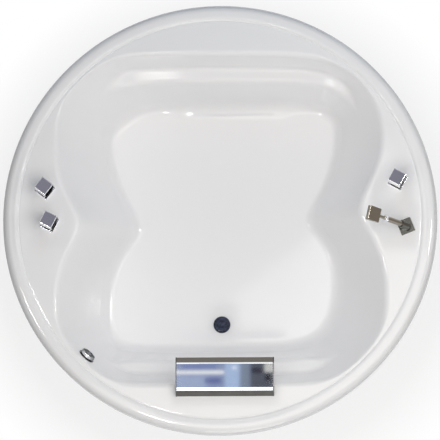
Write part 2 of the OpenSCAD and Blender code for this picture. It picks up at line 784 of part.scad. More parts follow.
module tap_handle(k) {
    foot = plate_h + run_gap;
    color("silver") translate([tap_pos[k][0], tap_pos[k][1], deck_z]) rotate([0, 0, tap_turn[k]]) {
        translate([0, 0, foot]) cylinder(d = neck_d, h = neck_h);
        translate([0, 0, plate_h + neck_h]) linear_extrude(cap_h) rounded_square(cap_w, 2.5);
        translate([0, 0, -30]) cylinder(d = spindle_d, h = foot + 32);
    }
}

module boss(dir, z, d, length) {
    translate([0, 0, z]) level_towards(dir) cylinder(d = d, h = length);
}

// A valve with its neck through the deck, its side bosses and an optional supply tail below
module valve(k, bosses, tail) {
    neck_top = deck_z + plate_h - 3;
    color("goldenrod") translate([tap_pos[k][0], tap_pos[k][1], 0]) difference() {
        union() {
            translate([0, 0, valve_z]) cylinder(d = valve_d, h = deck_board_z - valve_z);
            translate([0, 0, deck_board_z - 1]) cylinder(d = valve_neck_d, h = neck_top - deck_board_z + 1);
            for (b = bosses) boss(b[0], b[1], boss_d, boss_l);
            if (tail) {
                translate([0, 0, valve_z - tail_l]) cylinder(d = pipe_d, h = tail_l + 1);
                translate([0, 0, valve_z - tail_l - nipple_l]) cylinder(d = nipple_d, h = nipple_l + 1);
            }
        }
        translate([0, 0, deck_z - 32]) cylinder(d = spindle_d + 2 * fit_gap, h = 60);
        for (b = bosses) boss(b[0], b[1], bore_d, boss_l + 1);
        if (tail) translate([0, 0, valve_z - tail_l - nipple_l - 1])
            cylinder(d = bore_d, h = tail_l + nipple_l + 20);
    }
}

module deck_nuts() {
    color("goldenrod") {
        for (p = tap_pos) translate([p[0], p[1], deck_z]) difference() {
            cylinder(d = deck_nut_d, h = deck_nut_h, $fn = 6);
            translate([0, 0, -1]) cylinder(d = valve_neck_d + 2 * fit_gap, h = deck_nut_h + 2);
        }
        for (x = spout_stud_x) translate([spout_x + x, spout_fix_y, deck_board_z - 7]) difference() {
            cylinder(d = 2 * spout_stud_d, h = 7, $fn = 6);
            translate([0, 0, -1]) cylinder(d = spout_stud_d + 2 * fit_gap, h = 9);
        }
    }
}

// Pipes under the deck

// An arc of pipe round the well, with a block fitting at each end
module ring_pipe(from, to, z, blocks) {
    rotate([0, 0, from]) translate([0, 0, z]) rotate_extrude(angle = to - from, $fn = 128)
        translate([pipe_r, 0]) difference() {
            circle(d = pipe_d, $fn = 48);
            circle(d = bore_d, $fn = 48);
        }
    for (a = blocks) rotate([0, 0, a]) translate([pipe_r, 0, z]) cube(fitting_w, center = true);
}

// A level pipe between two places, short of each by its own distance
module straight_pipe(from, to, z, skip_from, skip_to) {
    translate([from[0], from[1], z]) level_towards(direction(from, to))
        translate([0, 0, skip_from]) tube(pipe_d, bore_d, norm(to - from) - skip_from - skip_to);
}

module mixing_tee() {
    color("goldenrod") {
        difference() {
            union() {
                straight_pipe(tap_pos[0], tap_pos[1], high_z, boss_l, boss_l);
                translate([tee_mid[0], tee_mid[1], high_z]) cube(fitting_w, center = true);
                straight_pipe(tee_mid, polar(pipe_r, tee_dir), high_z, fitting_w / 2 - 1, fitting_w / 2);
            }
            translate([tee_mid[0], tee_mid[1], high_z]) level_towards(tee_dir) cylinder(d = bore_d, h = fitting_w);
        }
    }
}

module mixed_pipe() {
    color("goldenrod") {
        ring_pipe(tee_dir, diverter_dir, high_z, [tee_dir, diverter_dir]);
        straight_pipe(tap_pos[2], polar(pipe_r, diverter_dir), high_z, boss_l, fitting_w / 2 - 1);
    }
}

module spout_pipe() {
    inlet = [spout_x, spout_fix_y];
    color("goldenrod") {
        ring_pipe(diverter_dir, spout_pipe_dir, low_z, [diverter_dir, spout_pipe_dir]);
        straight_pipe(tap_pos[2], polar(pipe_r, diverter_dir), low_z, boss_l, fitting_w / 2 - 1);
        straight_pipe(polar(pipe_r, spout_pipe_dir), inlet, low_z, pipe_lap, pipe_lap);
        translate([inlet[0], inlet[1], low_z]) {
            cube(fitting_w, center = true);
            cylinder(d = riser_d, h = deck_z - low_z + spout_block_h - 2);
        }
    }
}

shower_pipe_z = (high_z + low_z) / 2;
shower_elbow_d = 34;
module shower_pipe() {
    color("goldenrod") {
        translate([shower_pos[0], shower_pos[1], shower_pipe_z - 18])
            tube(shower_elbow_d, shower_neck_d + 2 * fit_gap, deck_board_z - shower_pipe_z + 18);
        straight_pipe(tap_pos[2], shower_pos, shower_pipe_z, boss_l, shower_elbow_d / 2 - 1);
    }
}

// Hand shower

shower_plate_h = 5;
holder_d = 34;
holder_neck = 26;
holder_down = 11;
holder_up = 26;
grip_gap = 0.3;
collar_d = 31;
collar_l = 12;
shower_neck_l = 30;
shower_stalk_d = 13;
spray_t = 2.5;

// Along the handset: z runs from its lower end to its head, x out of the spray face
module at_handset() {
    translate([shower_pos[0], shower_pos[1], deck_z + holder_neck])
        rotate([0, 0, shower_dir]) rotate([0, 90 - shower_rise, 0]) children();
}

module shower_plate() {
    color("silver") translate([shower_pos[0], shower_pos[1], deck_z]) rotate([0, 0, shower_turn])
        difference() {
            linear_extrude(shower_plate_h) rounded_square(shower_plate_w, 2);
            translate([0, 0, -1]) cylinder(d = shower_neck_d + 2 * hole_gap, h = shower_plate_h + 2);
        }
}

module shower_holder() {
    bottom = shower_pipe_z - 18;
    color("silver") difference() {
        union() {
            translate([shower_pos[0], shower_pos[1], bottom]) cylinder(d = shower_neck_d, h = deck_z - bottom + 10);
            translate([shower_pos[0], shower_pos[1], deck_z + shower_plate_h])
                cylinder(d = holder_d - 2, h = holder_neck - shower_plate_h - 2);
            at_handset() translate([0, 0, -holder_down]) cylinder(d = holder_d, h = holder_down + holder_up);
        }
        at_handset() translate([0, 0, -run_gap]) cylinder(d = handle_d + 2 * grip_gap, h = handle_len);
        translate([shower_pos[0], shower_pos[1], bottom - 1]) cylinder(d = 12, h = deck_z + 10 - bottom);
    }
}

module handset() {
    neck_s = handle_len + collar_l;
    head_s = neck_s + shower_neck_l;
    color("silver") at_handset() {
        cylinder(d = handle_d, h = handle_len + 1);
        translate([0, 0, handle_len]) cylinder(d = collar_d, h = collar_l);
        translate([0, 0, neck_s - 1]) cylinder(d = shower_stalk_d, h = shower_neck_l + 3);
        translate([-head_t / 2, 0, head_s + head_w / 2]) rotate([0, 90, 0])
            linear_extrude(head_t) rounded_square(head_w, 4);
    }
}

module spray_plate() {
    head_mid = handle_len + collar_l + shower_neck_l + head_w / 2;
    color("gainsboro") at_handset() translate([head_t / 2, 0, head_mid]) rotate([0, 90, 0])
        linear_extrude(spray_t) rounded_square(head_w - 12, 3);
}

// Cascade spout: a bent cover over a base plate, between two end plates

spout_line = [[spout_foot_y, deck_z], [spout_foot_y + spout_back_run, deck_z + spout_back_h],
    [spout_foot_y + spout_back_run + spout_top_run, deck_z + spout_front_h],
    [spout_foot_y + spout_back_run + spout_top_run + spout_nose_run, deck_z + spout_lip_h]];
spout_lip_y = spout_line[3][0];
spout_left = spout_x - spout_w / 2;
spout_right = spout_x + spout_w / 2;
spout_seat_y = -edge_walls[3] - edge_roll;
spout_floor_t = 4;
spout_block_h = 10;

module across(x0, x1) {
    translate([x0, 0, 0]) rotate([90, 0, 90]) linear_extrude(x1 - x0) children();
}

module spout_cover() {
    line = spout_line;
    inner = [for (k = [2, 1]) outer_corner(line, k, -spout_t)];
    foot_gap = spout_t / cos(atan(spout_back_run / spout_back_h));
    color("silver") across(spout_left + spout_end_t, spout_right - spout_end_t)
        polygon(concat(line, [line[3] - spout_t * side_of(line[2], line[3])],
            inner, [[line[0][0] + foot_gap, deck_z]]));
}

module spout_base() {
    back = spout_foot_y + 9.5;
    front = spout_lip_y - 14;
    color("silver") difference() {
        union() {
            across(spout_left + spout_end_t, spout_right - spout_end_t)
                polygon([[back, deck_z], [back, deck_z + spout_block_h], [spout_seat_y, deck_z + spout_block_h],
                    [front, deck_z + 2 * spout_floor_t], [front, deck_z + spout_floor_t],
                    [spout_seat_y + 4, deck_z + spout_floor_t], [spout_seat_y, deck_z]]);
            for (x = spout_stud_x) translate([spout_x + x, spout_fix_y, deck_board_z - 14])
                cylinder(d = spout_stud_d, h = deck_z - deck_board_z + 15);
        }
        translate([spout_x, spout_fix_y, deck_z - 1]) cylinder(d = riser_d + 2 * fit_gap, h = spout_block_h + 2);
    }
}

module spout_ends() {
    edge = 1;
    color("gray") for (x = [spout_left, spout_right - spout_end_t]) across(x, x + spout_end_t)
        polygon([[spout_foot_y - edge, deck_z], [spout_line[1][0] - edge, spout_line[1][1] + edge],
            [spout_line[2][0] + edge / 2, spout_line[2][1] + edge], [spout_lip_y + edge, deck_z + spout_lip_h],
            [spout_lip_y + edge, deck_z + spout_floor_t], [spout_seat_y + 4, deck_z + spout_floor_t],
            [spout_seat_y, deck_z]]);
}

tub_shell();
base_board();
front_deck_board();
back_deck_board();
left_deck_board();
right_deck_board();
side_rail(-1);  // left_side_rail
side_rail(1);  // right_side_rail
cross_rail(front_rail_y, side_rail_x + rail_w / 2);  // front_cross_rail
cross_rail(middle_rail_y, middle_post_x - post_w / 2);  // middle_cross_rail
cross_rail(back_rail_y, side_rail_x + rail_w / 2);  // back_cross_rail
front_post(post_pos[0]);  // front_left_post
front_post(post_pos[1]);  // front_right_post
post(post_pos[2], deck_under);  // back_left_post
post(post_pos[3], deck_under);  // back_right_post
post(post_pos[4], deck_under);  // left_post
post(post_pos[5], deck_under);  // right_post
levelling_foot(foot_pos[0]);  // front_left_foot
levelling_foot(foot_pos[1]);  // front_right_foot
levelling_foot(foot_pos[2]);  // back_left_foot
levelling_foot(foot_pos[3]);  // back_right_foot
levelling_foot(foot_pos[4]);  // left_foot
levelling_foot(foot_pos[5]);  // right_foot
levelling_foot(foot_pos[6]);  // inner_left_foot
levelling_foot(foot_pos[7]);  // inner_right_foot
foot_lock_nuts();
waste_flange();
waste_plug();
waste_gasket();
waste_body();
trap_nut();
trap_cup();
trap_outlet();
overflow_face();
overflow_knob();
overflow_gasket();
overflow_body();
overflow_pipe();
plug_cable();
cover_plate(0);  // hot_plate
cover_plate(1);  // cold_plate
cover_plate(2);  // diverter_plate
tap_handle(0);  // hot_handle
tap_handle(1);  // cold_handle
tap_handle(2);  // diverter_handle
valve(0, [[direction(tap_pos[0], tap_pos[1]), high_z]], true);  // hot_valve
valve(1, [[direction(tap_pos[1], tap_pos[0]), high_z]], true);  // cold_valve
valve(2, [[diverter_dir, high_z], [diverter_dir, low_z],  // diverter_valve
    [direction(tap_pos[2], shower_pos), shower_pipe_z]], false);
deck_nuts();
mixing_tee();
mixed_pipe();
spout_pipe();
shower_pipe();
shower_plate();
shower_holder();
handset();
spray_plate();
spout_base();
spout_cover();
spout_ends();
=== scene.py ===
import json
import math

import bpy
import bmesh
from mathutils import Matrix, Vector


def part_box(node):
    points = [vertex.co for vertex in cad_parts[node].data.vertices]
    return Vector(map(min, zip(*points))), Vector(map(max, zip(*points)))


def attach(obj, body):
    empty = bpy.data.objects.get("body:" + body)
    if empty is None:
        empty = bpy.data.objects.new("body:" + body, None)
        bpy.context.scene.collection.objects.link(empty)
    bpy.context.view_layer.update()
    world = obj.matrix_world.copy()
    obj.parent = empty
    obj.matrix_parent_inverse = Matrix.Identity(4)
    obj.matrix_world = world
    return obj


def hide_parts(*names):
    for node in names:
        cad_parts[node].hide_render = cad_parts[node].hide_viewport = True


# Round bathtub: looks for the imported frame.
# The pieces' dictionaries are in millimetres, those of the camera and the studio in metres.
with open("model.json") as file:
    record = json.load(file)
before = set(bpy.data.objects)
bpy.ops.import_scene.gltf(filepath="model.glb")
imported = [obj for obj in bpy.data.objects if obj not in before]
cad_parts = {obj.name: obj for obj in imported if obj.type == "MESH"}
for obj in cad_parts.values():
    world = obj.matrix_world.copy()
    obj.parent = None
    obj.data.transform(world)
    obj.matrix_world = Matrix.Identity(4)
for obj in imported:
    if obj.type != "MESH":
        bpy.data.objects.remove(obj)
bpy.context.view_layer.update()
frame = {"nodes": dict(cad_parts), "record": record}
mm = 0.001
print("frame loaded:", len(frame["nodes"]), "nodes")


def cosDeg(angle):
    return math.cos(math.radians(angle))


def sinDeg(angle):
    return math.sin(math.radians(angle))


def turned(angle, axis):
    return Matrix.Rotation(math.radians(angle), 4, axis)


def placed(x, y, z=0):
    return Matrix.Translation((x * mm, y * mm, z * mm))


# Camera

cameraView = {"leanRight": 2.0, "leanFront": 9.2, "distance": 40.0, "lens": 790.4, "sensor": 36, "clip": (1, 500),
              "aim": (0, 0, 0.644), "shift": (0.00023, -0.00216)}


def placeCamera(view):
    away = Vector((math.tan(math.radians(view["leanRight"])), -math.tan(math.radians(view["leanFront"])), 1))
    away.normalize()
    across = Vector((0, 1, 0)).cross(away).normalized()
    upward = away.cross(across)
    data = bpy.data.cameras.new("photoCamera")
    data.lens = view["lens"]
    data.sensor_width = view["sensor"]
    data.shift_x, data.shift_y = view["shift"]
    data.clip_start, data.clip_end = view["clip"]
    camera = bpy.data.objects.new("photoCamera", data)
    bpy.context.scene.collection.objects.link(camera)
    turn = Matrix((across, upward, away)).transposed().to_4x4()
    camera.matrix_world = Matrix.Translation(Vector(view["aim"]) + view["distance"] * away) @ turn
    bpy.context.scene.camera = camera


placeCamera(cameraView)
print("camera placed")

# Mesh helpers


def linkObject(name, mesh):
    piece = bpy.data.objects.new(name, mesh)
    bpy.context.scene.collection.objects.link(piece)
    return piece


def shadeByAngle(mesh, smooth):
    mesh.shade_smooth()
    mesh.set_sharp_from_angle(angle=math.radians(smooth))


def pieceFrom(name, shape, smooth=35):
    mesh = bpy.data.meshes.new(name)
    shape.to_mesh(mesh)
    shape.free()
    shadeByAngle(mesh, smooth)
    return linkObject(name, mesh)


def bakeModifiers(piece, smooth=35, shade=True):
    # the evaluated result becomes the piece's own mesh
    graph = bpy.context.evaluated_depsgraph_get()
    mesh = bpy.data.meshes.new_from_object(piece.evaluated_get(graph), depsgraph=graph)
    piece.modifiers.clear()
    old = piece.data
    piece.data = mesh
    mesh.name = piece.name
    if old.users == 0:
        bpy.data.meshes.remove(old)
    if shade:
        shadeByAngle(mesh, smooth)
    return piece


def keepFlat(piece):
    # large flat faces keep their own normals beside rounded edges
    even = piece.modifiers.new("flatFaces", "WEIGHTED_NORMAL")
    even.mode = "FACE_AREA"
    even.weight = 100
    even.keep_sharp = True
    return bakeModifiers(piece, shade=False)


def bevelEdges(piece, width, steps, angle=32):
    edge = piece.modifiers.new("softEdges", "BEVEL")
    edge.width = width * mm
    edge.segments = steps
    edge.limit_method = "ANGLE"
    edge.angle_limit = math.radians(angle)
    edge.harden_normals = True
    edge.use_clamp_overlap = True
    edge.profile = 0.5
    return keepFlat(bakeModifiers(piece))


def bodyOf(node):
    for body, nodes in frame["record"]["behaviour"]["bodies"].items():
        if node in nodes:
            return body


def settle(piece, node=None, body=None, material=None):
    # one place for the frame's calls on a finished piece
    if material is not None:
        piece.data.materials.clear()
        piece.data.materials.append(material)
    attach(piece, body or bodyOf(node))
    if node:
        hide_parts(node)
    return piece


def addFinishes(piece, *names):
    for name in names:
        piece.data.materials.append(finishes[name])


def dressNode(node, finish, bevel, steps=2):
    # a merged copy of a CAD node with softened edges
    shape = bmesh.new()
    shape.from_mesh(frame["nodes"][node].data)
    bmesh.ops.remove_doubles(shape, verts=shape.verts, dist=2e-6)
    bmesh.ops.dissolve_limit(shape, angle_limit=math.radians(1.2), verts=shape.verts, edges=shape.edges)
    for face in shape.faces:
        face.material_index = 0
    piece = pieceFrom(node + "_finished", shape)
    piece.data.materials.clear()
    if bevel:
        bevelEdges(piece, bevel, steps)
    return settle(piece, node=node, material=finishes[finish])


def dressNodes(nodes, finish, bevel, steps):
    for node in nodes:
        dressNode(node, finish, bevel, steps)


def turnedShape(profile, steps=64):
    # a closed solid of revolution about z from (radius, height) points, first and last on the axis
    shape = bmesh.new()
    rings = []
    for radius, height in profile:
        if radius < 1e-4:
            rings.append([shape.verts.new((0, 0, height * mm))])
        else:
            rings.append([shape.verts.new((radius * mm * math.cos(2 * math.pi * k / steps),
                                           radius * mm * math.sin(2 * math.pi * k / steps), height * mm))
                          for k in range(steps)])
    for low, high in zip(rings, rings[1:]):
        for k in range(steps):
            n = (k + 1) % steps
            if len(low) == 1 and len(high) > 1:
                shape.faces.new((low[0], high[n], high[k]))
            elif len(high) == 1 and len(low) > 1:
                shape.faces.new((low[k], low[n], high[0]))
            elif len(low) > 1:
                shape.faces.new((low[k], low[n], high[n], high[k]))
    bmesh.ops.recalc_face_normals(shape, faces=shape.faces)
    return shape


def hoopShape(profile, steps):
    # a closed ring about z: the profile ends where it starts, away from the axis
    shape = turnedShape(profile + profile[:1], steps)
    bmesh.ops.remove_doubles(shape, verts=shape.verts, dist=1e-6)
    bmesh.ops.recalc_face_normals(shape, faces=shape.faces)
    return shape


def rod(diameter, low, high):
    return turnedShape([(0, low), (diameter / 2, low), (diameter / 2, high), (0, high)], 32)


def roundedBlock(x, y, z, corner, edge, cornerSteps, edgeSteps):
    # a block about the origin: rounded upright corners, softened top and bottom edges
    def ring(inset, height):
        points = []
        for quarter in range(4):
            cx = (x / 2 - corner) * (1 if quarter in (0, 3) else -1)
            cy = (y / 2 - corner) * (1 if quarter in (0, 1) else -1)
            for i in range(cornerSteps + 1):
                angle = 90 * quarter + 90 * i / cornerSteps
                r = max(corner - inset, 0.05)
                points.append(((cx + r * cosDeg(angle)) * mm, (cy + r * sinDeg(angle)) * mm, height * mm))
        return points
    levels = [(edge * (1 - sinDeg(90 * i / edgeSteps)), -z / 2 + edge * (1 - cosDeg(90 * i / edgeSteps)))
              for i in range(edgeSteps + 1)]
    levels += [(inset, -height) for inset, height in reversed(levels)]
    shape = bmesh.new()
    rings = [[shape.verts.new(p) for p in ring(inset, height)] for inset, height in levels]
    count = len(rings[0])
    for low, high in zip(rings, rings[1:]):
        for k in range(count):
            shape.faces.new((low[k], low[(k + 1) % count], high[(k + 1) % count], high[k]))
    shape.faces.new(list(reversed(rings[0])))
    shape.faces.new(rings[-1])
    bmesh.ops.recalc_face_normals(shape, faces=shape.faces)
    return shape


def addShape(target, source, matrix=None):
    # copies one shape's faces into another
    if matrix is not None:
        bmesh.ops.transform(source, matrix=matrix, verts=source.verts)
    spots = [target.verts.new(v.co) for v in source.verts]
    source.verts.index_update()
    for face in source.faces:
        target.faces.new([spots[v.index] for v in face.verts])
    source.free()


def cutWith(piece, cutter):
    cut = piece.modifiers.new("cut", "BOOLEAN")
    cut.operation = "DIFFERENCE"
    cut.solver = "EXACT"
    cut.object = cutter
    bakeModifiers(piece)
    bpy.data.objects.remove(cutter, do_unlink=True)
    return piece


# Node helpers


def newTree(name, kind, inputs, outputs):
    # an input is given by its starting value, or by its kind where it has none
    kinds = {tuple: "Color", float: "Float", int: "Int"}
    tree = bpy.data.node_groups.new(name, kind)
    for label, value in inputs.items():
        plain = isinstance(value, str)
        socket = tree.interface.new_socket(name=label, in_out="INPUT",
                                           socket_type="NodeSocket" + (value if plain else kinds[type(value)]))
        if not plain:
            socket.default_value = value
    for label, value in outputs.items():
        tree.interface.new_socket(name=label, in_out="OUTPUT", socket_type="NodeSocket" + value)
    return tree, tree.nodes.new("NodeGroupInput").outputs, tree.nodes.new("NodeGroupOutput").inputs


def feed(tree, socket, value):
    # a link from another socket, or a fixed value; a colour may come without its alpha
    if hasattr(value, "is_linked"):
        tree.links.new(value, socket)
    elif isinstance(value, tuple) and len(value) < len(socket.default_value):
        socket.default_value = (*value, 1)
    else:
        socket.default_value = value


def addNode(tree, kind, **values):
    # inputs by their labels, with _ for a blank, and the node's own settings
    node = tree.nodes.new(kind)
    for key, value in values.items():
        label = key.replace("_", " ")
        if label in node.inputs:
            feed(tree, node.inputs[label], value)
        else:
            setattr(node, key, value)
    return node


def joinSockets(tree, *pairs):
    for source, target in pairs:
        tree.links.new(source, target)


def mathNode(tree, operation, a, b=None, clamp=False):
    node = addNode(tree, "ShaderNodeMath", operation=operation, use_clamp=clamp)
    for k, value in enumerate((a, b)):
        if value is not None:
            feed(tree, node.inputs[k], value)
    return node.outputs[0]


def product(tree, a, b, c=None, clamp=False):
    # two or three values multiplied, held between 0 and 1 at the end where clamp is set
    if c is None:
        return mathNode(tree, "MULTIPLY", a, b, clamp)
    return mathNode(tree, "MULTIPLY", mathNode(tree, "MULTIPLY", a, b), c, clamp)


def mixColour(tree, factor, a, b):
    node = addNode(tree, "ShaderNodeMix", data_type="RGBA")
    for k, value in ((0, factor), (6, a), (7, b)):
        feed(tree, node.inputs[k], value)
    return node.outputs[2]


def spread(tree, value, low, high, to=(0, 1)):
    node = tree.nodes.new("ShaderNodeMapRange")
    for k, given in enumerate((value, low, high, *to)):
        feed(tree, node.inputs[k], given)
    return node.outputs[0]


def noiseAt(tree, vector, scale, detail, roughness=0.5):
    return addNode(tree, "ShaderNodeTexNoise", Vector=vector, Scale=scale, Detail=detail,
                   Roughness=roughness).outputs["Fac"]


def objectSpace(tree, stretch=None, turn=(0, 0, 0)):
    spot = tree.nodes.new("ShaderNodeTexCoord").outputs["Object"]
    if stretch is None:
        return spot
    return addNode(tree, "ShaderNodeMapping", Vector=spot, Scale=stretch,
                   Rotation=tuple(math.radians(a) for a in turn)).outputs["Vector"]


def heightOf(tree, vector):
    return addNode(tree, "ShaderNodeSeparateXYZ", Vector=vector).outputs["Z"]


def surfaceNormal(tree):
    return tree.nodes.new("ShaderNodeNewGeometry").outputs["Normal"]


# Shader groups shared by the finishes

def buildHandledSurface():
    # cloudy tone, uneven polish and fine wiping marks
    tree, given, result = newTree("handledSurface", "ShaderNodeTree",
        {"Colour": (0.8, 0.8, 0.8, 1), "Shade": (0.7, 0.7, 0.7, 1), "Cloud Scale": 6.0,
         "Cloud Amount": 0.3, "Roughness": 0.2, "Roughness Spread": 0.1,
         "Mark Scale": 300.0, "Mark Depth": 0.2},
        {"Colour": "Color", "Roughness": "Float", "Height": "Float"})
    cloud = noiseAt(tree, objectSpace(tree), given["Cloud Scale"], 4)
    tone = product(tree, spread(tree, cloud, 0.3, 0.7), given["Cloud Amount"], clamp=True)
    marks = noiseAt(tree, objectSpace(tree, (1, 0.12, 1), (0, 0, 24)), given["Mark Scale"], 5, 0.7)
    polish = product(tree, mathNode(tree, "SUBTRACT", marks, 0.5), given["Roughness Spread"])
    joinSockets(tree, (mixColour(tree, tone, given["Colour"], given["Shade"]), result["Colour"]),
                (mathNode(tree, "ADD", given["Roughness"], polish, True), result["Roughness"]),
                (product(tree, marks, given["Mark Depth"]), result["Height"]))
    return tree


def buildSettledDust():
    # pale dust on faces that look up, thicker in patches
    tree, given, result = newTree("settledDust", "ShaderNodeTree",
        {"Colour": (0.8, 0.8, 0.8, 1), "Dust": (0.72, 0.70, 0.66, 1), "Amount": 0.2,
         "Patch Scale": 9.0}, {"Colour": "Color"})
    upward = spread(tree, heightOf(tree, surfaceNormal(tree)), 0.2, 0.95)
    patch = spread(tree, noiseAt(tree, objectSpace(tree), given["Patch Scale"], 5, 0.6), 0.35, 0.7)
    mask = product(tree, upward, patch, given["Amount"], clamp=True)
    joinSockets(tree, (mixColour(tree, mask, given["Colour"], given["Dust"]), result["Colour"]))
    return tree


def buildRubbedEdges():
    # brighter or barer colour where edges stand out
    tree, given, result = newTree("rubbedEdges", "ShaderNodeTree",
        {"Colour": (0.3, 0.3, 0.3, 1), "Bare": (0.6, 0.6, 0.6, 1), "Amount": 0.5,
         "Break Up": 60.0}, {"Colour": "Color"})
    edge = spread(tree, tree.nodes.new("ShaderNodeNewGeometry").outputs["Pointiness"], 0.53, 0.62)
    broken = spread(tree, noiseAt(tree, objectSpace(tree), given["Break Up"], 4, 0.65), 0.4, 0.6)
    mask = product(tree, edge, broken, given["Amount"], clamp=True)
    joinSockets(tree, (mixColour(tree, mask, given["Colour"], given["Bare"]), result["Colour"]))
    return tree


def buildPlyLayers():
    # long grain on the faces, alternating plies on the edges of a level board
    tree, given, result = newTree("plyLayers", "ShaderNodeTree",
        {"Light": (0.76, 0.6, 0.42, 1), "Dark": (0.55, 0.38, 0.22, 1),
         "Grain Scale": 18.0, "Ply Thickness": 0.003}, {"Colour": "Color", "Height": "Float"})
    grain = noiseAt(tree, objectSpace(tree, (1, 14, 14)), given["Grain Scale"], 6, 0.6)
    face = mixColour(tree, spread(tree, grain, 0.35, 0.68), given["Light"], given["Dark"])
    pair = product(tree, given["Ply Thickness"], 2)
    layer = mathNode(tree, "FRACT", mathNode(tree, "DIVIDE", heightOf(tree, objectSpace(tree)), pair))
    glued = mixColour(tree, 0.55, given["Dark"], (0.3, 0.2, 0.12))
    edge = mixColour(tree, mathNode(tree, "GREATER_THAN", layer, 0.5), given["Light"], glued)
    level = mathNode(tree, "ABSOLUTE", heightOf(tree, surfaceNormal(tree)))
    flat = mathNode(tree, "GREATER_THAN", level, 0.5)
    joinSockets(tree, (mixColour(tree, flat, edge, face), result["Colour"]), (grain, result["Height"]))
    return tree


def buildStrandMat():
    # chopped glass strands pressed in resin, lying three ways
    tree, given, result = newTree("strandMat", "ShaderNodeTree",
        {"Resin": (0.78, 0.77, 0.70, 1), "Strand": (0.9, 0.9, 0.86, 1),
         "Strand Scale": 34.0}, {"Colour": "Color", "Roughness": "Float", "Height": "Float"})
    ways = (((20, 35, 10), (1, 9, 9)), ((70, -25, 80), (9, 1, 9)), ((-40, 60, 130), (9, 9, 1)))
    first, second, third = [noiseAt(tree, objectSpace(tree, stretch, turn), given["Strand Scale"], 3, 0.55)
                            for turn, stretch in ways]
    top = mathNode(tree, "MAXIMUM", first, mathNode(tree, "MAXIMUM", second, third))
    strand = spread(tree, top, 0.52, 0.68)
    joinSockets(tree, (mixColour(tree, strand, given["Resin"], given["Strand"]), result["Colour"]),
                (spread(tree, top, 0.4, 0.7, (0.55, 0.35)), result["Roughness"]), (strand, result["Height"]))
    return tree


groups = {"handled": buildHandledSurface(), "dust": buildSettledDust(), "rubbed": buildRubbedEdges(),
          "ply": buildPlyLayers(), "strand": buildStrandMat()}


def useGroup(tree, key, **values):
    return addNode(tree, "ShaderNodeGroup", node_tree=groups[key], **values)


def blankMaterial(name):
    material = bpy.data.materials.new(name)
    material.use_nodes = True
    return material, material.node_tree


def newFinish(name, bump, bumpSize, **fixed):
    material, tree = blankMaterial(name)
    shader = tree.nodes["Principled BSDF"]
    for label, value in fixed.items():
        feed(tree, shader.inputs[label.replace("_", " ")], value)
    relief = addNode(tree, "ShaderNodeBump", Strength=bump, Distance=bumpSize)
    feed(tree, shader.inputs["Normal"], relief.outputs["Normal"])
    return material, tree, shader, relief


def handledFinish(name, colour, shade, roughness, roughSpread, cloud, cloudScale, marks, markDepth,
                  dust=0.0, rubbed=None, bump=0.08, bumpSize=0.0004, **fixed):
    material, tree, shader, relief = newFinish(name, bump, bumpSize, **fixed)
    base = useGroup(tree, "handled", Colour=colour, Shade=shade, Cloud_Scale=cloudScale, Cloud_Amount=cloud,
                    Roughness=roughness, Roughness_Spread=roughSpread, Mark_Scale=marks, Mark_Depth=markDepth)
    tone = base.outputs["Colour"]
    if rubbed:
        tone = useGroup(tree, "rubbed", Colour=tone, Bare=rubbed, Amount=0.6).outputs["Colour"]
    if dust:
        tone = useGroup(tree, "dust", Colour=tone, Amount=dust).outputs["Colour"]
    joinSockets(tree, (tone, shader.inputs["Base Color"]), (base.outputs["Roughness"], shader.inputs["Roughness"]),
                (base.outputs["Height"], relief.inputs["Height"]))
    return material


def plyFinish():
    material, tree, shader, relief = newFinish("birchPlywood", 0.25, 0.0006, Roughness=0.62)
    wood = useGroup(tree, "ply", Light=(0.76, 0.6, 0.42), Dark=(0.58, 0.41, 0.25), Grain_Scale=16, Ply_Thickness=0.002)
    dusty = useGroup(tree, "dust", Colour=wood.outputs["Colour"], Amount=0.25)
    joinSockets(tree, (dusty.outputs["Colour"], shader.inputs["Base Color"]),
                (wood.outputs["Height"], relief.inputs["Height"]))
    return material


def laminateFinish():
    material, tree, shader, relief = newFinish("glassLaminate", 0.6, 0.0012)
    mat = useGroup(tree, "strand", Resin=(0.80, 0.79, 0.73), Strand=(0.9, 0.9, 0.87), Strand_Scale=34)
    joinSockets(tree, (mat.outputs["Colour"], shader.inputs["Base Color"]),
                (mat.outputs["Roughness"], shader.inputs["Roughness"]),
                (mat.outputs["Height"], relief.inputs["Height"]))
    return material


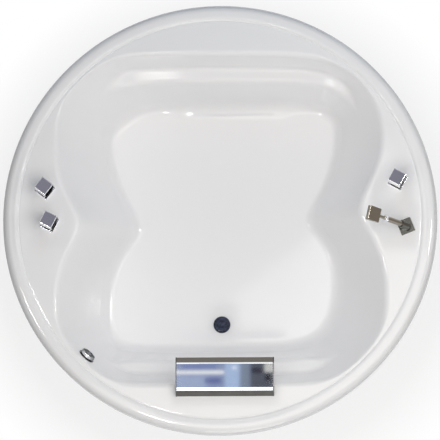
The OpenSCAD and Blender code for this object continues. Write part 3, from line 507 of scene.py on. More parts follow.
# each row: name, colour, shade, roughness, its spread, cloud amount, cloud scale, mark scale, mark depth
metal = {"Metallic": 1.0}
mirror = {"bump": 0.006, "bumpSize": 0.0002, "Metallic": 1.0}
finishes = {
    "acrylic": handledFinish("glossAcrylic", (0.93, 0.93, 0.94), (0.915, 0.915, 0.925), 0.085, 0.04, 0.4, 3, 90, 0.1,
        bump=0.02, bumpSize=0.0002),
    "laminate": laminateFinish(),
    "plywood": plyFinish(),
    "paint": handledFinish("frameEnamel", (0.34, 0.35, 0.37), (0.28, 0.29, 0.31), 0.42, 0.15, 0.5, 12, 260, 0.4,
        dust=0.35, rubbed=(0.62, 0.62, 0.62), bump=0.25),
    "zinc": handledFinish("zincPlate", (0.66, 0.67, 0.68), (0.55, 0.56, 0.55), 0.32, 0.2, 0.7, 90, 400, 0.4,
        dust=0.15, bump=0.2, **metal),
    "footPlastic": handledFinish("footPolymer", (0.06, 0.06, 0.065), (0.09, 0.09, 0.09), 0.55, 0.15, 0.4, 40, 500, 0.5,
        dust=0.3, rubbed=(0.2, 0.2, 0.2), bump=0.3),
    "chrome": handledFinish("polishedChrome", (0.76, 0.77, 0.79), (0.70, 0.71, 0.74), 0.05, 0.03, 0.35, 30, 160, 0.06,
        **mirror),
    "taupe": handledFinish("taupeChrome", (0.31, 0.285, 0.25), (0.25, 0.23, 0.2), 0.09, 0.04, 0.35, 30, 160, 0.06,
        bump=0.01, bumpSize=0.0002, **metal),
    # painted dark reflection: a dark chrome tone for the spout's back strip and ends, the shower's plate and holder,
    # and the overflow face
    "paintedDark": handledFinish("smokedChrome", (0.16, 0.16, 0.15), (0.10, 0.10, 0.09), 0.16, 0.06, 0.5, 18, 200, 0.1,
        bump=0.03, bumpSize=0.0002, **metal),
    # chrome with painted shade: a lower tone, and a black tint that goes dark where it is seen along its surface
    "shaded": handledFinish("shadedChrome", (0.55, 0.56, 0.58), (0.48, 0.49, 0.52), 0.07, 0.03, 0.35, 30, 160, 0.06,
        Specular_Tint=(0.0, 0.0, 0.0, 1), **mirror),
    # painted dark reflection: near-black navy with light flecks for the drain's plug and flange
    "drain": handledFinish("darkChrome", (0.002, 0.003, 0.01), (0.06, 0.075, 0.13), 0.2, 0.1, 0.95, 95, 260, 0.6,
        bump=0.3, Specular_IOR_Level=0.14),
    "rubber": handledFinish("sealRubber", (0.04, 0.04, 0.04), (0.07, 0.07, 0.07), 0.6, 0.15, 0.4, 60, 600, 0.4,
        dust=0.2),
    "wastePlastic": handledFinish("wastePolymer", (0.85, 0.86, 0.86), (0.78, 0.79, 0.78), 0.34, 0.12, 0.4, 16, 350, 0.3,
        dust=0.25, bump=0.12),
    "cable": handledFinish("cableSleeve", (0.2, 0.2, 0.21), (0.14, 0.14, 0.15), 0.45, 0.15, 0.4, 50, 700, 0.5,
        dust=0.15),
    "valveBrass": handledFinish("castBrass", (0.72, 0.56, 0.3), (0.6, 0.44, 0.22), 0.34, 0.2, 0.6, 45, 420, 0.5,
        dust=0.2, rubbed=(0.85, 0.72, 0.45), bump=0.3, **metal),
    "pipe": handledFinish("drawnPipe", (0.7, 0.45, 0.3), (0.55, 0.34, 0.22), 0.28, 0.15, 0.7, 26, 300, 0.3,
        dust=0.15, bump=0.1, **metal),
    "spray": handledFinish("sprayPolymer", (0.75, 0.76, 0.78), (0.68, 0.69, 0.71), 0.38, 0.1, 0.3, 40, 400, 0.3),
    "nozzle": handledFinish("nozzleSilicone", (0.3, 0.31, 0.33), (0.25, 0.26, 0.28), 0.5, 0.1, 0.3, 60, 500, 0.3),
    "weld": handledFinish("paintedWeld", (0.31, 0.32, 0.34), (0.22, 0.23, 0.25), 0.5, 0.2, 0.6, 50, 500, 0.6,
        dust=0.3, bump=0.4),
}
print("finishes made:", len(finishes))

# Geometry Nodes patterns


def paintedBy(tree, geometry, material):
    return addNode(tree, "GeometryNodeSetMaterial", Geometry=geometry, Material=material).outputs[0]


def joinedOf(tree, *parts):
    joined = tree.nodes.new("GeometryNodeJoinGeometry")
    for part in parts:
        tree.links.new(part, joined.inputs[0])
    return joined.outputs[0]


def liftedBy(tree, geometry, height):
    lift = addNode(tree, "ShaderNodeCombineXYZ", Z=height)
    return addNode(tree, "GeometryNodeTransform", Geometry=geometry, Translation=lift.outputs[0]).outputs[0]


def realizedOn(tree, **placing):
    # instances on points, made real
    place = addNode(tree, "GeometryNodeInstanceOnPoints", **placing)
    return addNode(tree, "GeometryNodeRealizeInstances", Geometry=place.outputs[0]).outputs[0]


def buildScatter():
    # one shape on every point, turned to the point's own facing, with a little variation
    tree, given, result = newTree("scatterOnPoints", "GeometryNodeTree",
        {"Geometry": "Geometry", "Shape": "Object", "Material": "Material",
         "Smallest": 1.0, "Largest": 1.0, "Spin": 0.0, "Seed": 7},
        {"Geometry": "Geometry"})
    shape = addNode(tree, "GeometryNodeObjectInfo", Object=given["Shape"])
    facing = addNode(tree, "GeometryNodeInputNamedAttribute", data_type="FLOAT_VECTOR", Name="facing")
    align = addNode(tree, "FunctionNodeAlignRotationToVector", axis="Z", Vector=facing.outputs["Attribute"])
    size = addNode(tree, "FunctionNodeRandomValue", data_type="FLOAT", Seed=given["Seed"])
    angle = addNode(tree, "FunctionNodeRandomValue", data_type="FLOAT", Seed=given["Seed"])
    turn = addNode(tree, "FunctionNodeAxisAngleToRotation", Angle=angle.outputs[1])
    spin = addNode(tree, "FunctionNodeRotateRotation", rotation_space="LOCAL")
    joinSockets(tree, (given["Smallest"], size.inputs[2]), (given["Largest"], size.inputs[3]),
                (given["Spin"], angle.inputs[3]), (align.outputs[0], spin.inputs[0]), (turn.outputs[0], spin.inputs[1]))
    whole = realizedOn(tree, Points=given["Geometry"], Instance=shape.outputs["Geometry"],
                       Rotation=spin.outputs[0], Scale=size.outputs[1])
    joinSockets(tree, (paintedBy(tree, whole, given["Material"]), result[0]))
    return tree


def buildThreadedFoot():
    # pad, cone and stud by stacked cylinders, with a thread wound round the stud
    tree, given, result = newTree("threadedFoot", "GeometryNodeTree",
        {"Geometry": "Geometry", "Pad Radius": 0.025, "Pad Height": 0.008,
         "Cone Top": 0.01, "Cone Height": 0.012, "Stud Radius": 0.006,
         "Stud Height": 0.1, "Pitch": 0.00175, "Thread Depth": 0.0009,
         "Pad Material": "Material", "Stud Material": "Material"}, {"Geometry": "Geometry"})

    def column(kind, height, base, **radii):
        body = addNode(tree, kind, Vertices=40, Depth=height, **radii)
        return liftedBy(tree, body.outputs["Mesh"], base)

    pad = column("GeometryNodeMeshCylinder", given["Pad Height"], product(tree, given["Pad Height"], 0.5),
                 Radius=given["Pad Radius"])
    cone = column("GeometryNodeMeshCone", given["Cone Height"], given["Pad Height"],
                  Radius_Bottom=product(tree, given["Pad Radius"], 0.84), Radius_Top=given["Cone Top"])
    studBase = mathNode(tree, "ADD", given["Pad Height"], given["Cone Height"])
    core = mathNode(tree, "SUBTRACT", given["Stud Radius"], given["Thread Depth"])
    stud = column("GeometryNodeMeshCylinder", given["Stud Height"],
                  mathNode(tree, "ADD", studBase, product(tree, given["Stud Height"], 0.5)), Radius=core)
    ridgeSize = product(tree, given["Thread Depth"], 0.75)
    middle = mathNode(tree, "SUBTRACT", given["Stud Radius"], ridgeSize)
    spiral = addNode(tree, "GeometryNodeCurveSpiral", Resolution=24, Start_Radius=middle, End_Radius=middle,
                     Rotations=mathNode(tree, "DIVIDE", given["Stud Height"], given["Pitch"]),
                     Height=given["Stud Height"])
    ridge = addNode(tree, "GeometryNodeCurvePrimitiveCircle", Resolution=4, Radius=ridgeSize)
    thread = addNode(tree, "GeometryNodeCurveToMesh", Curve=spiral.outputs[0], Profile_Curve=ridge.outputs["Curve"],
                     Fill_Caps=True)
    wound = liftedBy(tree, thread.outputs[0], studBase)
    shoe = paintedBy(tree, joinedOf(tree, pad, cone), given["Pad Material"])
    screw = paintedBy(tree, joinedOf(tree, stud, wound), given["Stud Material"])
    whole = realizedOn(tree, Points=given["Geometry"], Instance=joinedOf(tree, shoe, screw))
    joinSockets(tree, (whole, result[0]))
    return tree


def runPattern(name, tree, points, values, facing=None, smooth=35):
    # a mesh of bare points goes through the tree and comes back as a plain mesh
    mesh = bpy.data.meshes.new(name)
    mesh.from_pydata([tuple(p) for p in points], [], [])
    if facing:
        layer = mesh.attributes.new("facing", "FLOAT_VECTOR", "POINT")
        for k, direction in enumerate(facing):
            layer.data[k].vector = direction
    piece = linkObject(name, mesh)
    step = piece.modifiers.new(name, "NODES")
    step.node_group = tree
    for item in tree.interface.items_tree:
        if item.in_out == "INPUT" and item.name in values:
            step[item.identifier] = values[item.name]
    return bakeModifiers(piece, smooth)


scatterTree = buildScatter()
footTree = buildThreadedFoot()


def scatterShape(name, shapeName, shape, points, facing, finish, seed, smooth=35, **varied):
    # the pattern's shape is an object only while the pattern runs
    sample = pieceFrom(shapeName, shape)
    values = {"Shape": sample, "Material": finishes[finish], "Seed": seed, **varied}
    piece = runPattern(name, scatterTree, points, values, facing, smooth)
    bpy.data.objects.remove(sample, do_unlink=True)
    return piece


print("patterns built")

# Shell: the well's own rules, drawn much finer than the CAD

tub = {"rimRadius": 900, "deck": 644, "depth": 445, "wall": 8, "rimRise": 10, "rimWidth": 66, "roll": 30,
       "lipDrop": 26, "edgeInset": (209, 207, 220, 211), "cornerInset": (78, 77, 87, 77),
       "edgeTight": (18, 28, 30, 30), "edgeWaists": ((112, 4, 14.5), (98, 181.5, 13)), "edgeRoll": 26,
       "wallRun": (200, 140, 185, 205), "cornerRun": (134, 179, 80, 223), "footTight": (30, 30, 11.5, 13.5),
       "footWaists": ((117, 11, 18), (128, 174, 20)), "footRise": 62, "footRun": 40, "footRunBack": 48,
       "ledgeDepth": 172, "ledgeFall": 24, "ledgeBack": (0.17, 0.44), "ledgeFront": (0.31, 0.3),
       "ledgeTopBend": (18, 20), "ledgeLipBend": (22, 24), "backSpan": (86, 40), "frontSpan": (270, 36), "fade": 12,
       "sides": 360,
       # (out from the groove, up from the crown), then (out from the groove, up from the deck)
       "crownFall": ((27, -0.1), (18, -0.5), (13, -1.4), (10, -2.5), (7, -4.4)),
       "groove": ((4.5, 3.2), (2.5, 0.4), (1, -1.1), (0, -1.5), (-1, -1.3), (-2.2, -0.5), (-3.5, -0.05))}
fittings = {"waste": (-7, -376), "wasteHole": 48, "wasteSeat": 72, "overflowAngle": 225.5, "overflowDepth": 52,
            "overflowHole": 52, "overflowSeat": 74, "tapInset": (163, 193, 148), "tapAngle": (170, 181, 12),
            "tapHole": 28, "showerInset": 129, "showerAngle": -2.6, "showerHole": 22, "spoutMiddle": 21,
            "spoutFixing": -722, "riserHole": 16, "studHole": 10, "studs": (-150, 150)}
grooveRadius = tub["rimRadius"] - tub["rimWidth"]
deckRadius = grooveRadius - 4
floorZ = tub["deck"] - tub["depth"]
rimTop = tub["deck"] + tub["rimRise"]
lipZ = rimTop - tub["roll"] - tub["lipDrop"]
wasteX, wasteY = fittings["waste"]


def polar(radius, angle):
    return (radius * cosDeg(angle), radius * sinDeg(angle))


tapSpots = [polar(tub["rimRadius"] - d, a) for d, a in zip(fittings["tapInset"], fittings["tapAngle"])]
showerSpot = polar(tub["rimRadius"] - fittings["showerInset"], fittings["showerAngle"])


def angleGap(a, b):
    gap = abs(a - b) % 360
    return min(gap, 360 - gap)


def ease(t):
    t = min(1, max(0, t))
    return t * t * (3 - 2 * t)


def mixed(a, b, t):
    return (a[0] + (b[0] - a[0]) * t, a[1] + (b[1] - a[1]) * t)


def along(a, b, shares):
    return [mixed(a, b, t) for t in shares]


def cornerBlend(angle, values):
    weights = [max(0, cosDeg(angle - q)) ** 4 for q in (45, 135, 225, 315)]
    return sum(w * v for w, v in zip(weights, values)) / sum(weights)


def outlineReach(angle, walls, corners, tight, waists):
    power = cornerBlend(angle, tight)
    reach = list(walls)
    for k, (depth, middle, width) in zip((0, 2), waists):
        reach[k] -= depth * math.exp(-(angleGap(angle, middle) / width) ** 2)
    total = (1 / cornerBlend(angle, corners)) ** power
    for k in range(4):
        total += (max(cosDeg(angle - 90 * k), 0.001) / reach[k]) ** power
    return total ** (-1 / power)


edgeWalls = [tub["rimRadius"] - d for d in tub["edgeInset"]]
edgeCorners = [tub["rimRadius"] - d for d in tub["cornerInset"]]
footWalls = [a - b for a, b in zip(edgeWalls, tub["wallRun"])]
footCorners = [a - b for a, b in zip(edgeCorners, tub["cornerRun"])]


def edgeReach(angle):
    return outlineReach(angle, edgeWalls, edgeCorners, tub["edgeTight"], tub["edgeWaists"])


def footReach(angle):
    return outlineReach(angle, footWalls, footCorners, tub["footTight"], tub["footWaists"])


def wallSection(angle):
    edge, foot = edgeReach(angle), footReach(angle)
    back, front = [ease((span[1] + tub["fade"] / 2 - angleGap(angle, span[0])) / tub["fade"])
                   for span in (tub["backSpan"], tub["frontSpan"])]
    plainTop = tub["ledgeDepth"] / tub["depth"]
    plainLip = (tub["ledgeDepth"] + tub["ledgeFall"]) / tub["depth"]
    top = plainTop + back * (tub["ledgeBack"][0] - plainTop) + front * (tub["ledgeFront"][0] - plainTop)
    lip = plainLip + back * (sum(tub["ledgeBack"]) - plainLip) + front * (sum(tub["ledgeFront"]) - plainLip)
    deck = tub["deck"]
    return [(deckRadius, deck), (edge, deck), (edge + (foot - edge) * top, deck - tub["ledgeDepth"]),
            (edge + (foot - edge) * lip, deck - tub["ledgeDepth"] - tub["ledgeFall"]), (foot, floorZ), (0, floorZ)]


def outwards(section, wall):
    def normal(a, b):
        length = math.hypot(b[0] - a[0], b[1] - a[1])
        return (-(b[1] - a[1]) / length, (b[0] - a[0]) / length)
    moved = [(section[0][0], section[0][1] - wall)]
    for k in range(1, 5):
        n1, n2 = normal(section[k - 1], section[k]), normal(section[k], section[k + 1])
        scale = wall / (1 + n1[0] * n2[0] + n1[1] * n2[1])
        moved.append((section[k][0] + scale * (n1[0] + n2[0]), section[k][1] + scale * (n1[1] + n2[1])))
    return moved + [(section[5][0], section[5][1] - wall)]


def roundCorner(section, k, before, after, steps):
    def short(a, b, want):
        length = math.hypot(b[0] - a[0], b[1] - a[1])
        return mixed(a, b, min(want, 0.45 * length) / length)
    start, end = short(section[k], section[k - 1], before), short(section[k], section[k + 1], after)
    return [mixed(mixed(start, section[k], t), mixed(section[k], end, t), t)
            for t in [i / steps for i in range(steps + 1)]]


def rimProfile():
    radius, roll = tub["rimRadius"], tub["roll"]
    points = [(radius, lipZ + 1.2), (radius, lipZ + 6), (radius, lipZ + 16)]
    points += [(radius - roll + roll * cosDeg(q), rimTop - roll + roll * sinDeg(q)) for q in range(0, 91, 5)]
    points += [(grooveRadius + out, rimTop + up) for out, up in tub["crownFall"]]
    points += [(grooveRadius + out, tub["deck"] + up) for out, up in tub["groove"]]
    return points + [(deckRadius - 3, tub["deck"])]


def shellSection(angle):
    # the inner face from the rim to the floor, then the outer face from the lip to the floor's underside
    section = wallSection(angle)
    run = tub["footRun"] + tub["footRunBack"] * (1 - ease((angleGap(angle, tub["backSpan"][0]) - 18) / 12))
    roll, wall = tub["edgeRoll"], tub["wall"]
    bends = [roundCorner(section, 1, roll * 0.8, roll, 12), roundCorner(section, 2, *tub["ledgeTopBend"], 7),
             roundCorner(section, 3, *tub["ledgeLipBend"], 8), roundCorner(section, 4, tub["footRise"], run, 14)]
    top = rimProfile()
    top += along(top[-1], bends[0][0], (0.1, 0.35, 0.65, 0.95)) + bends[0]
    for k in range(3):
        top += along(bends[k][-1], bends[k + 1][0], (0.05, 0.3, 0.7, 0.95)) + bends[k + 1]
    top += along(bends[3][-1], (0, floorZ), (0.03, 0.3, 0.6, 0.85))
    under = outwards(section, wall)
    radius, below = tub["rimRadius"] - wall, tub["deck"] - wall
    lower = [(tub["rimRadius"] - 1.2, lipZ), (radius + 1, lipZ), (radius, lipZ + 1), (radius, below - 14),
             (radius - 2, below - 6), (radius - 6, below - 2), (radius - 12, below), (grooveRadius + 8, below)]
    turns = [roundCorner(under, 1, 6, roll - wall, 4), roundCorner(under, 2, 20, 20, 4),
             roundCorner(under, 3, 20, 20, 4), roundCorner(under, 4, tub["footRise"] - wall, tub["footRun"], 6)]
    lower += along(lower[-1], turns[0][0], (0.5, 0.95)) + turns[0]
    for k in range(3):
        lower += along(turns[k][-1], turns[k + 1][0], (0.06, 0.5, 0.94)) + turns[k + 1]
    return top, lower + along(turns[3][-1], (0, under[5][1]), (0.05, 0.5, 0.85))


def overflowPlace():
    angle, depth = fittings["overflowAngle"], fittings["overflowDepth"]
    lean = math.degrees(math.atan((edgeReach(angle) - footReach(angle)) / tub["depth"]))
    radius = edgeReach(angle) - depth * math.tan(math.radians(lean))
    return placed(*polar(radius, angle), tub["deck"] - depth) @ turned(angle, "Z") @ turned(90 + lean, "Y")


def shellCutter():
    shape = bmesh.new()
    low = floorZ - tub["wall"] - 2
    hole, seat = fittings["wasteHole"] / 2, fittings["wasteSeat"] / 2
    addShape(shape, turnedShape([(0, low), (hole, low), (hole, floorZ - 1), (seat, floorZ - 1), (seat, floorZ + 3),
                                 (0, floorZ + 3)], 96), placed(wasteX, wasteY))
    hole, seat = fittings["overflowHole"] / 2, fittings["overflowSeat"] / 2
    addShape(shape, turnedShape([(0, -10), (seat, -10), (seat, 0), (hole, 0), (hole, 30), (0, 30)], 96),
             overflowPlace())
    middle, fixing = fittings["spoutMiddle"], fittings["spoutFixing"]
    holes = [(spot, fittings["tapHole"]) for spot in tapSpots]
    holes += [(showerSpot, fittings["showerHole"]), ((middle, fixing), fittings["riserHole"])]
    holes += [((middle + dx, fixing), fittings["studHole"]) for dx in fittings["studs"]]
    for spot, diameter in holes:
        addShape(shape, rod(diameter, tub["deck"] - tub["wall"] - 3, tub["deck"] + 3), placed(*spot))
    return pieceFrom("shellCutter", shape)


def makeShell():
    shape = bmesh.new()
    sides = tub["sides"]
    loops = []
    for k in range(sides):
        angle = 360 * k / sides
        top, lower = shellSection(angle)
        c, s = cosDeg(angle) * mm, sinDeg(angle) * mm
        loops.append([shape.verts.new((r * c, r * s, z * mm)) for r, z in list(reversed(top)) + lower])
    topCount = len(top)
    middle = shape.verts.new((0, 0, floorZ * mm))
    below = shape.verts.new((0, 0, (floorZ - tub["wall"]) * mm))
    for k in range(sides):
        a, b = loops[k], loops[(k + 1) % sides]
        for i in range(len(a) - 1):
            face = shape.faces.new((a[i], b[i], b[i + 1], a[i + 1]))
            face.material_index = 0 if i < topCount + 1 else 1
        shape.faces.new((a[0], middle, b[0]))
        shape.faces.new((a[-1], b[-1], below)).material_index = 1
    bmesh.ops.recalc_face_normals(shape, faces=shape.faces)
    piece = pieceFrom("tub_shell_moulding", shape, 50)
    addFinishes(piece, "acrylic", "laminate")
    cutter = shellCutter()
    addFinishes(cutter, "acrylic")
    cutWith(piece, cutter)
    piece.data.set_sharp_from_angle(angle=math.radians(50))
    return settle(piece, node="tub_shell")


makeShell()
print("shell moulded")

# Deck taps: plates, turning handles, valves and their nuts

taps = {"names": ("hot", "cold", "diverter"), "turn": (-38, -27, -28), "capWidth": 56, "capHeight": 62,
        "capCorner": 2.5, "capEdge": 2.2, "neckDiameter": 30, "neckHeight": 28, "plateHeight": 9, "gap": 0.4,
        "spindle": 10, "spindleReach": 30, "screwHeight": 16,
        "socketScrew": ((0, 0.4), (1.3, 0.4), (1.3, 1.4), (2.3, 1.4), (2.5, 1.2), (2.5, 0), (0, 0))}


def makeHandle(name, spot, turn):
    deck = tub["deck"]
    low = deck + taps["plateHeight"] + taps["gap"]
    capLow = deck + taps["plateHeight"] + taps["neckHeight"]
    shape = bmesh.new()
    cap = roundedBlock(taps["capWidth"], taps["capWidth"], taps["capHeight"], taps["capCorner"], taps["capEdge"], 6, 4)
    addShape(shape, cap, placed(0, 0, capLow + taps["capHeight"] / 2))
    for face in shape.faces:
        # the side and the edges that read dark take the darker chrome, as painted shade: the cap's own +x side and
        # upper edges, save those towards its -y
        face.normal_update()
        normal = face.normal
        dark = abs(normal.z) < 0.97 and normal.y > -0.5 and (normal.x > 0.5 or normal.z > 0.1)
        face.material_index = 1 if dark else 0
    r = taps["neckDiameter"] / 2
    addShape(shape, turnedShape([(0, low), (r - 0.8, low), (r, low + 0.8), (r, low + 4), (r - 0.7, low + 4.6),
                                 (r - 0.7, low + 5.6), (r, low + 6.2), (r, capLow + 1), (0, capLow + 1)]))
    addShape(shape, rod(taps["spindle"], deck - taps["spindleReach"], low + 2))
    # socket screw at the back of the neck
    addShape(shape, turnedShape(taps["socketScrew"], 12),
             turned(90, "Z") @ placed(r * 0.96, 0, low + taps["screwHeight"]) @ turned(90, "Y"))
    bmesh.ops.transform(shape, verts=shape.verts, matrix=placed(*spot) @ turned(turn, "Z"))
    piece = keepFlat(pieceFrom(name + "_handle_polished", shape))
    addFinishes(piece, "chrome", "shaded")
    return settle(piece, node=name + "_handle")


for tapName, spot, turn in zip(taps["names"], tapSpots, taps["turn"]):
    makeHandle(tapName, spot, turn)
    dressNode(tapName + "_plate", "chrome", 1.2, 3)
    dressNode(tapName + "_valve", "valveBrass", 0.8, 2)
dressNode("deck_nuts", "valveBrass", 0.5, 2)
print("taps fitted")

# Hand shower in its holder

shower = {"reach": 26, "lean": 40, "towards": 167, "handle": 23, "handleLength": 104, "collar": 31, "collarLength": 12,
          "neckLength": 30, "stalk": 13, "head": 60, "headThickness": 18, "headCorner": 4, "headEdge": 2.2,
          "sprayThickness": 2.5, "sprayInset": 12, "nozzleRows": 7, "nozzlePitch": 6.2, "nozzleHeight": 1.1}


def handsetPlace():
    return (placed(*showerSpot, tub["deck"] + shower["reach"]) @ turned(shower["towards"], "Z")
            @ turned(90 - shower["lean"], "Y"))


def handsetMiddle():
    # from the foot of the handle to the middle of the head
    return shower["handleLength"] + shower["collarLength"] + shower["neckLength"] + shower["head"] / 2


def makeHandset():
    r, c, s = shower["handle"] / 2, shower["collar"] / 2, shower["stalk"] / 2
    top = shower["handleLength"]
    neck = top + shower["collarLength"]
    handle = [(0, 0), (r - 2.5, 0), (r - 0.7, 0.8), (r, 2.6), (r, 30), (r - 0.35, 60), (r - 0.2, top - 3),
              (r + 0.6, top)]
    collar = [(c - 1.2, top + 0.1), (c, top + 1.2), (c, top + 3.6), (c - 0.7, top + 4), (c - 0.7, top + 4.8),
              (c, top + 5.2), (c, neck - 3.6), (c - 0.5, neck - 1.6), (c - 2.4, neck - 0.3)]
    stalk = [(s + 1.6, neck), (s + 0.3, neck + 2.5), (s, neck + 8), (s, neck + 22), (s + 0.6, neck + 29),
             (s + 2, neck + 33), (0, neck + 34)]
    shape = turnedShape(handle + collar + stalk)
    for face in shape.faces:
        face.material_index = 1 if top < face.calc_center_median().z / mm < neck else 0
    wide = shower["head"]
    head = roundedBlock(wide, wide, shower["headThickness"], shower["headCorner"], shower["headEdge"], 6, 4)
    addShape(shape, head, placed(0, 0, handsetMiddle()) @ turned(90, "Y"))
    bmesh.ops.transform(shape, verts=shape.verts, matrix=handsetPlace())
    piece = keepFlat(pieceFrom("handset_polished", shape, 40))
    addFinishes(piece, "taupe", "chrome")
    settle(piece, node="handset")


def makeSpray():
    # a plate on the head's face, and nozzles set out by the pattern
    face, thickness, pitch = shower["headThickness"] / 2, shower["sprayThickness"], shower["nozzlePitch"]
    flat = handsetPlace() @ placed(0, 0, handsetMiddle()) @ turned(90, "Y")
    wide = shower["head"] - shower["sprayInset"]
    shape = bmesh.new()
    plate = roundedBlock(wide, wide, thickness - 0.6, 3, 0.5, 5, 2)
    addShape(shape, plate, flat @ placed(0, 0, face + thickness / 2 - 0.3))
    settle(pieceFrom("spray_plate_face", shape), node="spray_plate", material=finishes["spray"])
    high = shower["nozzleHeight"]
    tip = turnedShape([(0, 0), (1.5, 0), (1.1, high - 0.2), (0.7, high), (0, high - 0.4)], 10)
    rows = range(shower["nozzleRows"])
    half = (shower["nozzleRows"] - 1) / 2
    base = face + thickness - 0.65
    points = [flat @ Vector(((i - half) * pitch * mm, (j - half) * pitch * mm, base * mm)) for i in rows for j in rows]
    outward = (flat.to_3x3() @ Vector((0, 0, 1))).normalized()
    nozzles = scatterShape("spray_nozzles", "nozzleTip", tip, points, [outward] * len(points), "nozzle", 3,
                           Smallest=0.98, Largest=1.02, Spin=3.0)
    settle(nozzles, body="hand_shower")


makeHandset()
makeSpray()
dressNode("shower_plate", "paintedDark", 1.0, 3)
dressNode("shower_holder", "paintedDark", 0.9, 3)
print("hand shower fitted")

# Cascade spout: bent sheet, end plates and base

spout = {"middle": 21, "width": 407, "foot": -741, "backRun": 20, "topRun": 113, "noseRun": 26, "backHeight": 48,
         "frontHeight": 44, "lipHeight": 22, "sheet": 3, "end": 5, "noseBend": 13, "backBend": 15, "bendSteps": 8,
         "strips": 8}


def arcCorner(line, k, radius):
    # points of an arc that rounds the line's corner k
    a, b, c = (Vector(line[i]) for i in (k - 1, k, k + 1))
    u, v = (a - b).normalized(), (c - b).normalized()
    half = u.angle(v) / 2
    centre = b + (u + v).normalized() * radius / math.sin(half)
    start, end = [b + side * radius / math.tan(half) - centre for side in (u, v)]
    first = math.atan2(start.y, start.x)
    turn = (math.atan2(end.y, end.x) - first + math.pi) % (2 * math.pi) - math.pi
    angles = [first + turn * i / spout["bendSteps"] for i in range(spout["bendSteps"] + 1)]
    return [(centre.x + radius * math.cos(q), centre.y + radius * math.sin(q)) for q in angles]


def sheetProfile():
    deck, y, wall = tub["deck"], spout["foot"], spout["sheet"]
    y1, y2 = y + spout["backRun"], y + spout["backRun"] + spout["topRun"]
    line = [(y, deck), (y1, deck + spout["backHeight"]), (y2, deck + spout["frontHeight"]),
            (y2 + spout["noseRun"], deck + spout["lipHeight"])]

    def shifted(a, b):
        d = (Vector(b) - Vector(a)).normalized()
        return Vector((d.y, -d.x)) * wall

    def meet(corner, n1, n2):
        return Vector(corner) + (n1 + n2) * wall * wall / (wall * wall + n1.dot(n2))

    n01, n12, n23 = [shifted(a, b) for a, b in zip(line, line[1:])]
    slope = math.atan(spout["backRun"] / spout["backHeight"])
    inLine = [Vector(line[0]) + Vector((wall / math.cos(slope), 0)),
              meet(line[1], n01, n12), meet(line[2], n12, n23), Vector(line[3]) + n23]
    outer = [line[0]] + arcCorner(line, 1, spout["backBend"]) + arcCorner(line, 2, spout["noseBend"]) + [line[3]]
    inner = [tuple(inLine[0])] + arcCorner(inLine, 1, spout["backBend"] - wall)
    inner += arcCorner(inLine, 2, spout["noseBend"] - wall) + [tuple(inLine[3])]
    return outer + list(reversed(inner))


def makeSpoutCover():
    profile = sheetProfile()
    x0 = spout["middle"] - spout["width"] / 2 + spout["end"]
    x1 = spout["middle"] + spout["width"] / 2 - spout["end"]
    shape = bmesh.new()
    rows = []
    for i in range(spout["strips"] + 1):
        x = x0 + (x1 - x0) * i / spout["strips"]
        rows.append([shape.verts.new((x * mm, p[0] * mm, p[1] * mm)) for p in profile])
    count = len(profile)
    # painted dark reflection: the back strip, inside and out, and the start of its bend take the dark chrome
    backFaces = spout["bendSteps"] // 2 - 2
    for a, b in zip(rows, rows[1:]):
        for k in range(count):
            face = shape.faces.new((a[k], b[k], b[(k + 1) % count], a[(k + 1) % count]))
            if k <= backFaces or k >= count - 2:
                face.material_index = 1
    shape.faces.new(rows[0])
    shape.faces.new(list(reversed(rows[-1])))
    bmesh.ops.recalc_face_normals(shape, faces=shape.faces)
    piece = keepFlat(pieceFrom("spout_cover_sheet", shape, 40))
    addFinishes(piece, "chrome", "paintedDark")
    return settle(piece, node="spout_cover")


makeSpoutCover()
dressNode("spout_ends", "paintedDark", 0.9, 3)
dressNode("spout_base", "chrome", 0.6, 2)
print("spout fitted")

# Waste and overflow

waste = {"plug": 60, "plugTop": 211.4, "plugHeight": 4, "dome": 0.4, "stem": 8, "stemLow": 165, "ring": 22}
overflow = {"knob": 62, "knobLength": 14, "front": -5.5, "stem": 8, "stemEnd": 45.2, "slots": 6, "slotWidth": 4.5,
            "slotLength": 17, "slotDepth": 4, "slotTurn": 18, "slotReach": 20.5}
trap = {"ribs": 24, "ribRadius": 30.2, "ribMiddle": 106, "ribWidth": 2.2, "ribHeight": 14, "ribDepth": 1.6,
        "ringRadius": 43.05, "rings": (44, 86),
        "ringShape": ((-1.5, -1.6), (0.4, -1.6), (1.2, -0.8), (1.2, 0.8), (0.4, 1.6), (-1.5, 1.6))}


def makePlug():
    top, r, s, ring = waste["plugTop"], waste["plug"] / 2, waste["stem"] / 2, waste["ring"]
    low = top - waste["plugHeight"]
    profile = [(0, waste["stemLow"]), (s, waste["stemLow"]), (s, low), (r - 4, low), (r - 3.4, low + 0.7),
               (r - 1.6, low + 0.7), (r - 1, low), (r - 0.4, low + 0.2), (r, low + 0.8), (r, top - 1.6),
               (r - 0.5, top - 0.6), (r - 1.6, top - 0.1), (r - 5, top), (ring, top - 0.1), (ring - 0.6, top - 0.7),
               (ring - 1.6, top - 0.7), (ring - 2.2, top - 0.1)]
    profile += [(ring * t - 2.2 * t, top - 0.1 + waste["dome"] * (1 - t * t)) for t in (0.8, 0.6, 0.4, 0.2)]
    shape = turnedShape(profile + [(0, top + 0.3)], 96)
    bmesh.ops.transform(shape, verts=shape.verts, matrix=placed(wasteX, wasteY))
    return settle(pieceFrom("waste_plug_domed", shape, 40), node="waste_plug", material=finishes["drain"])


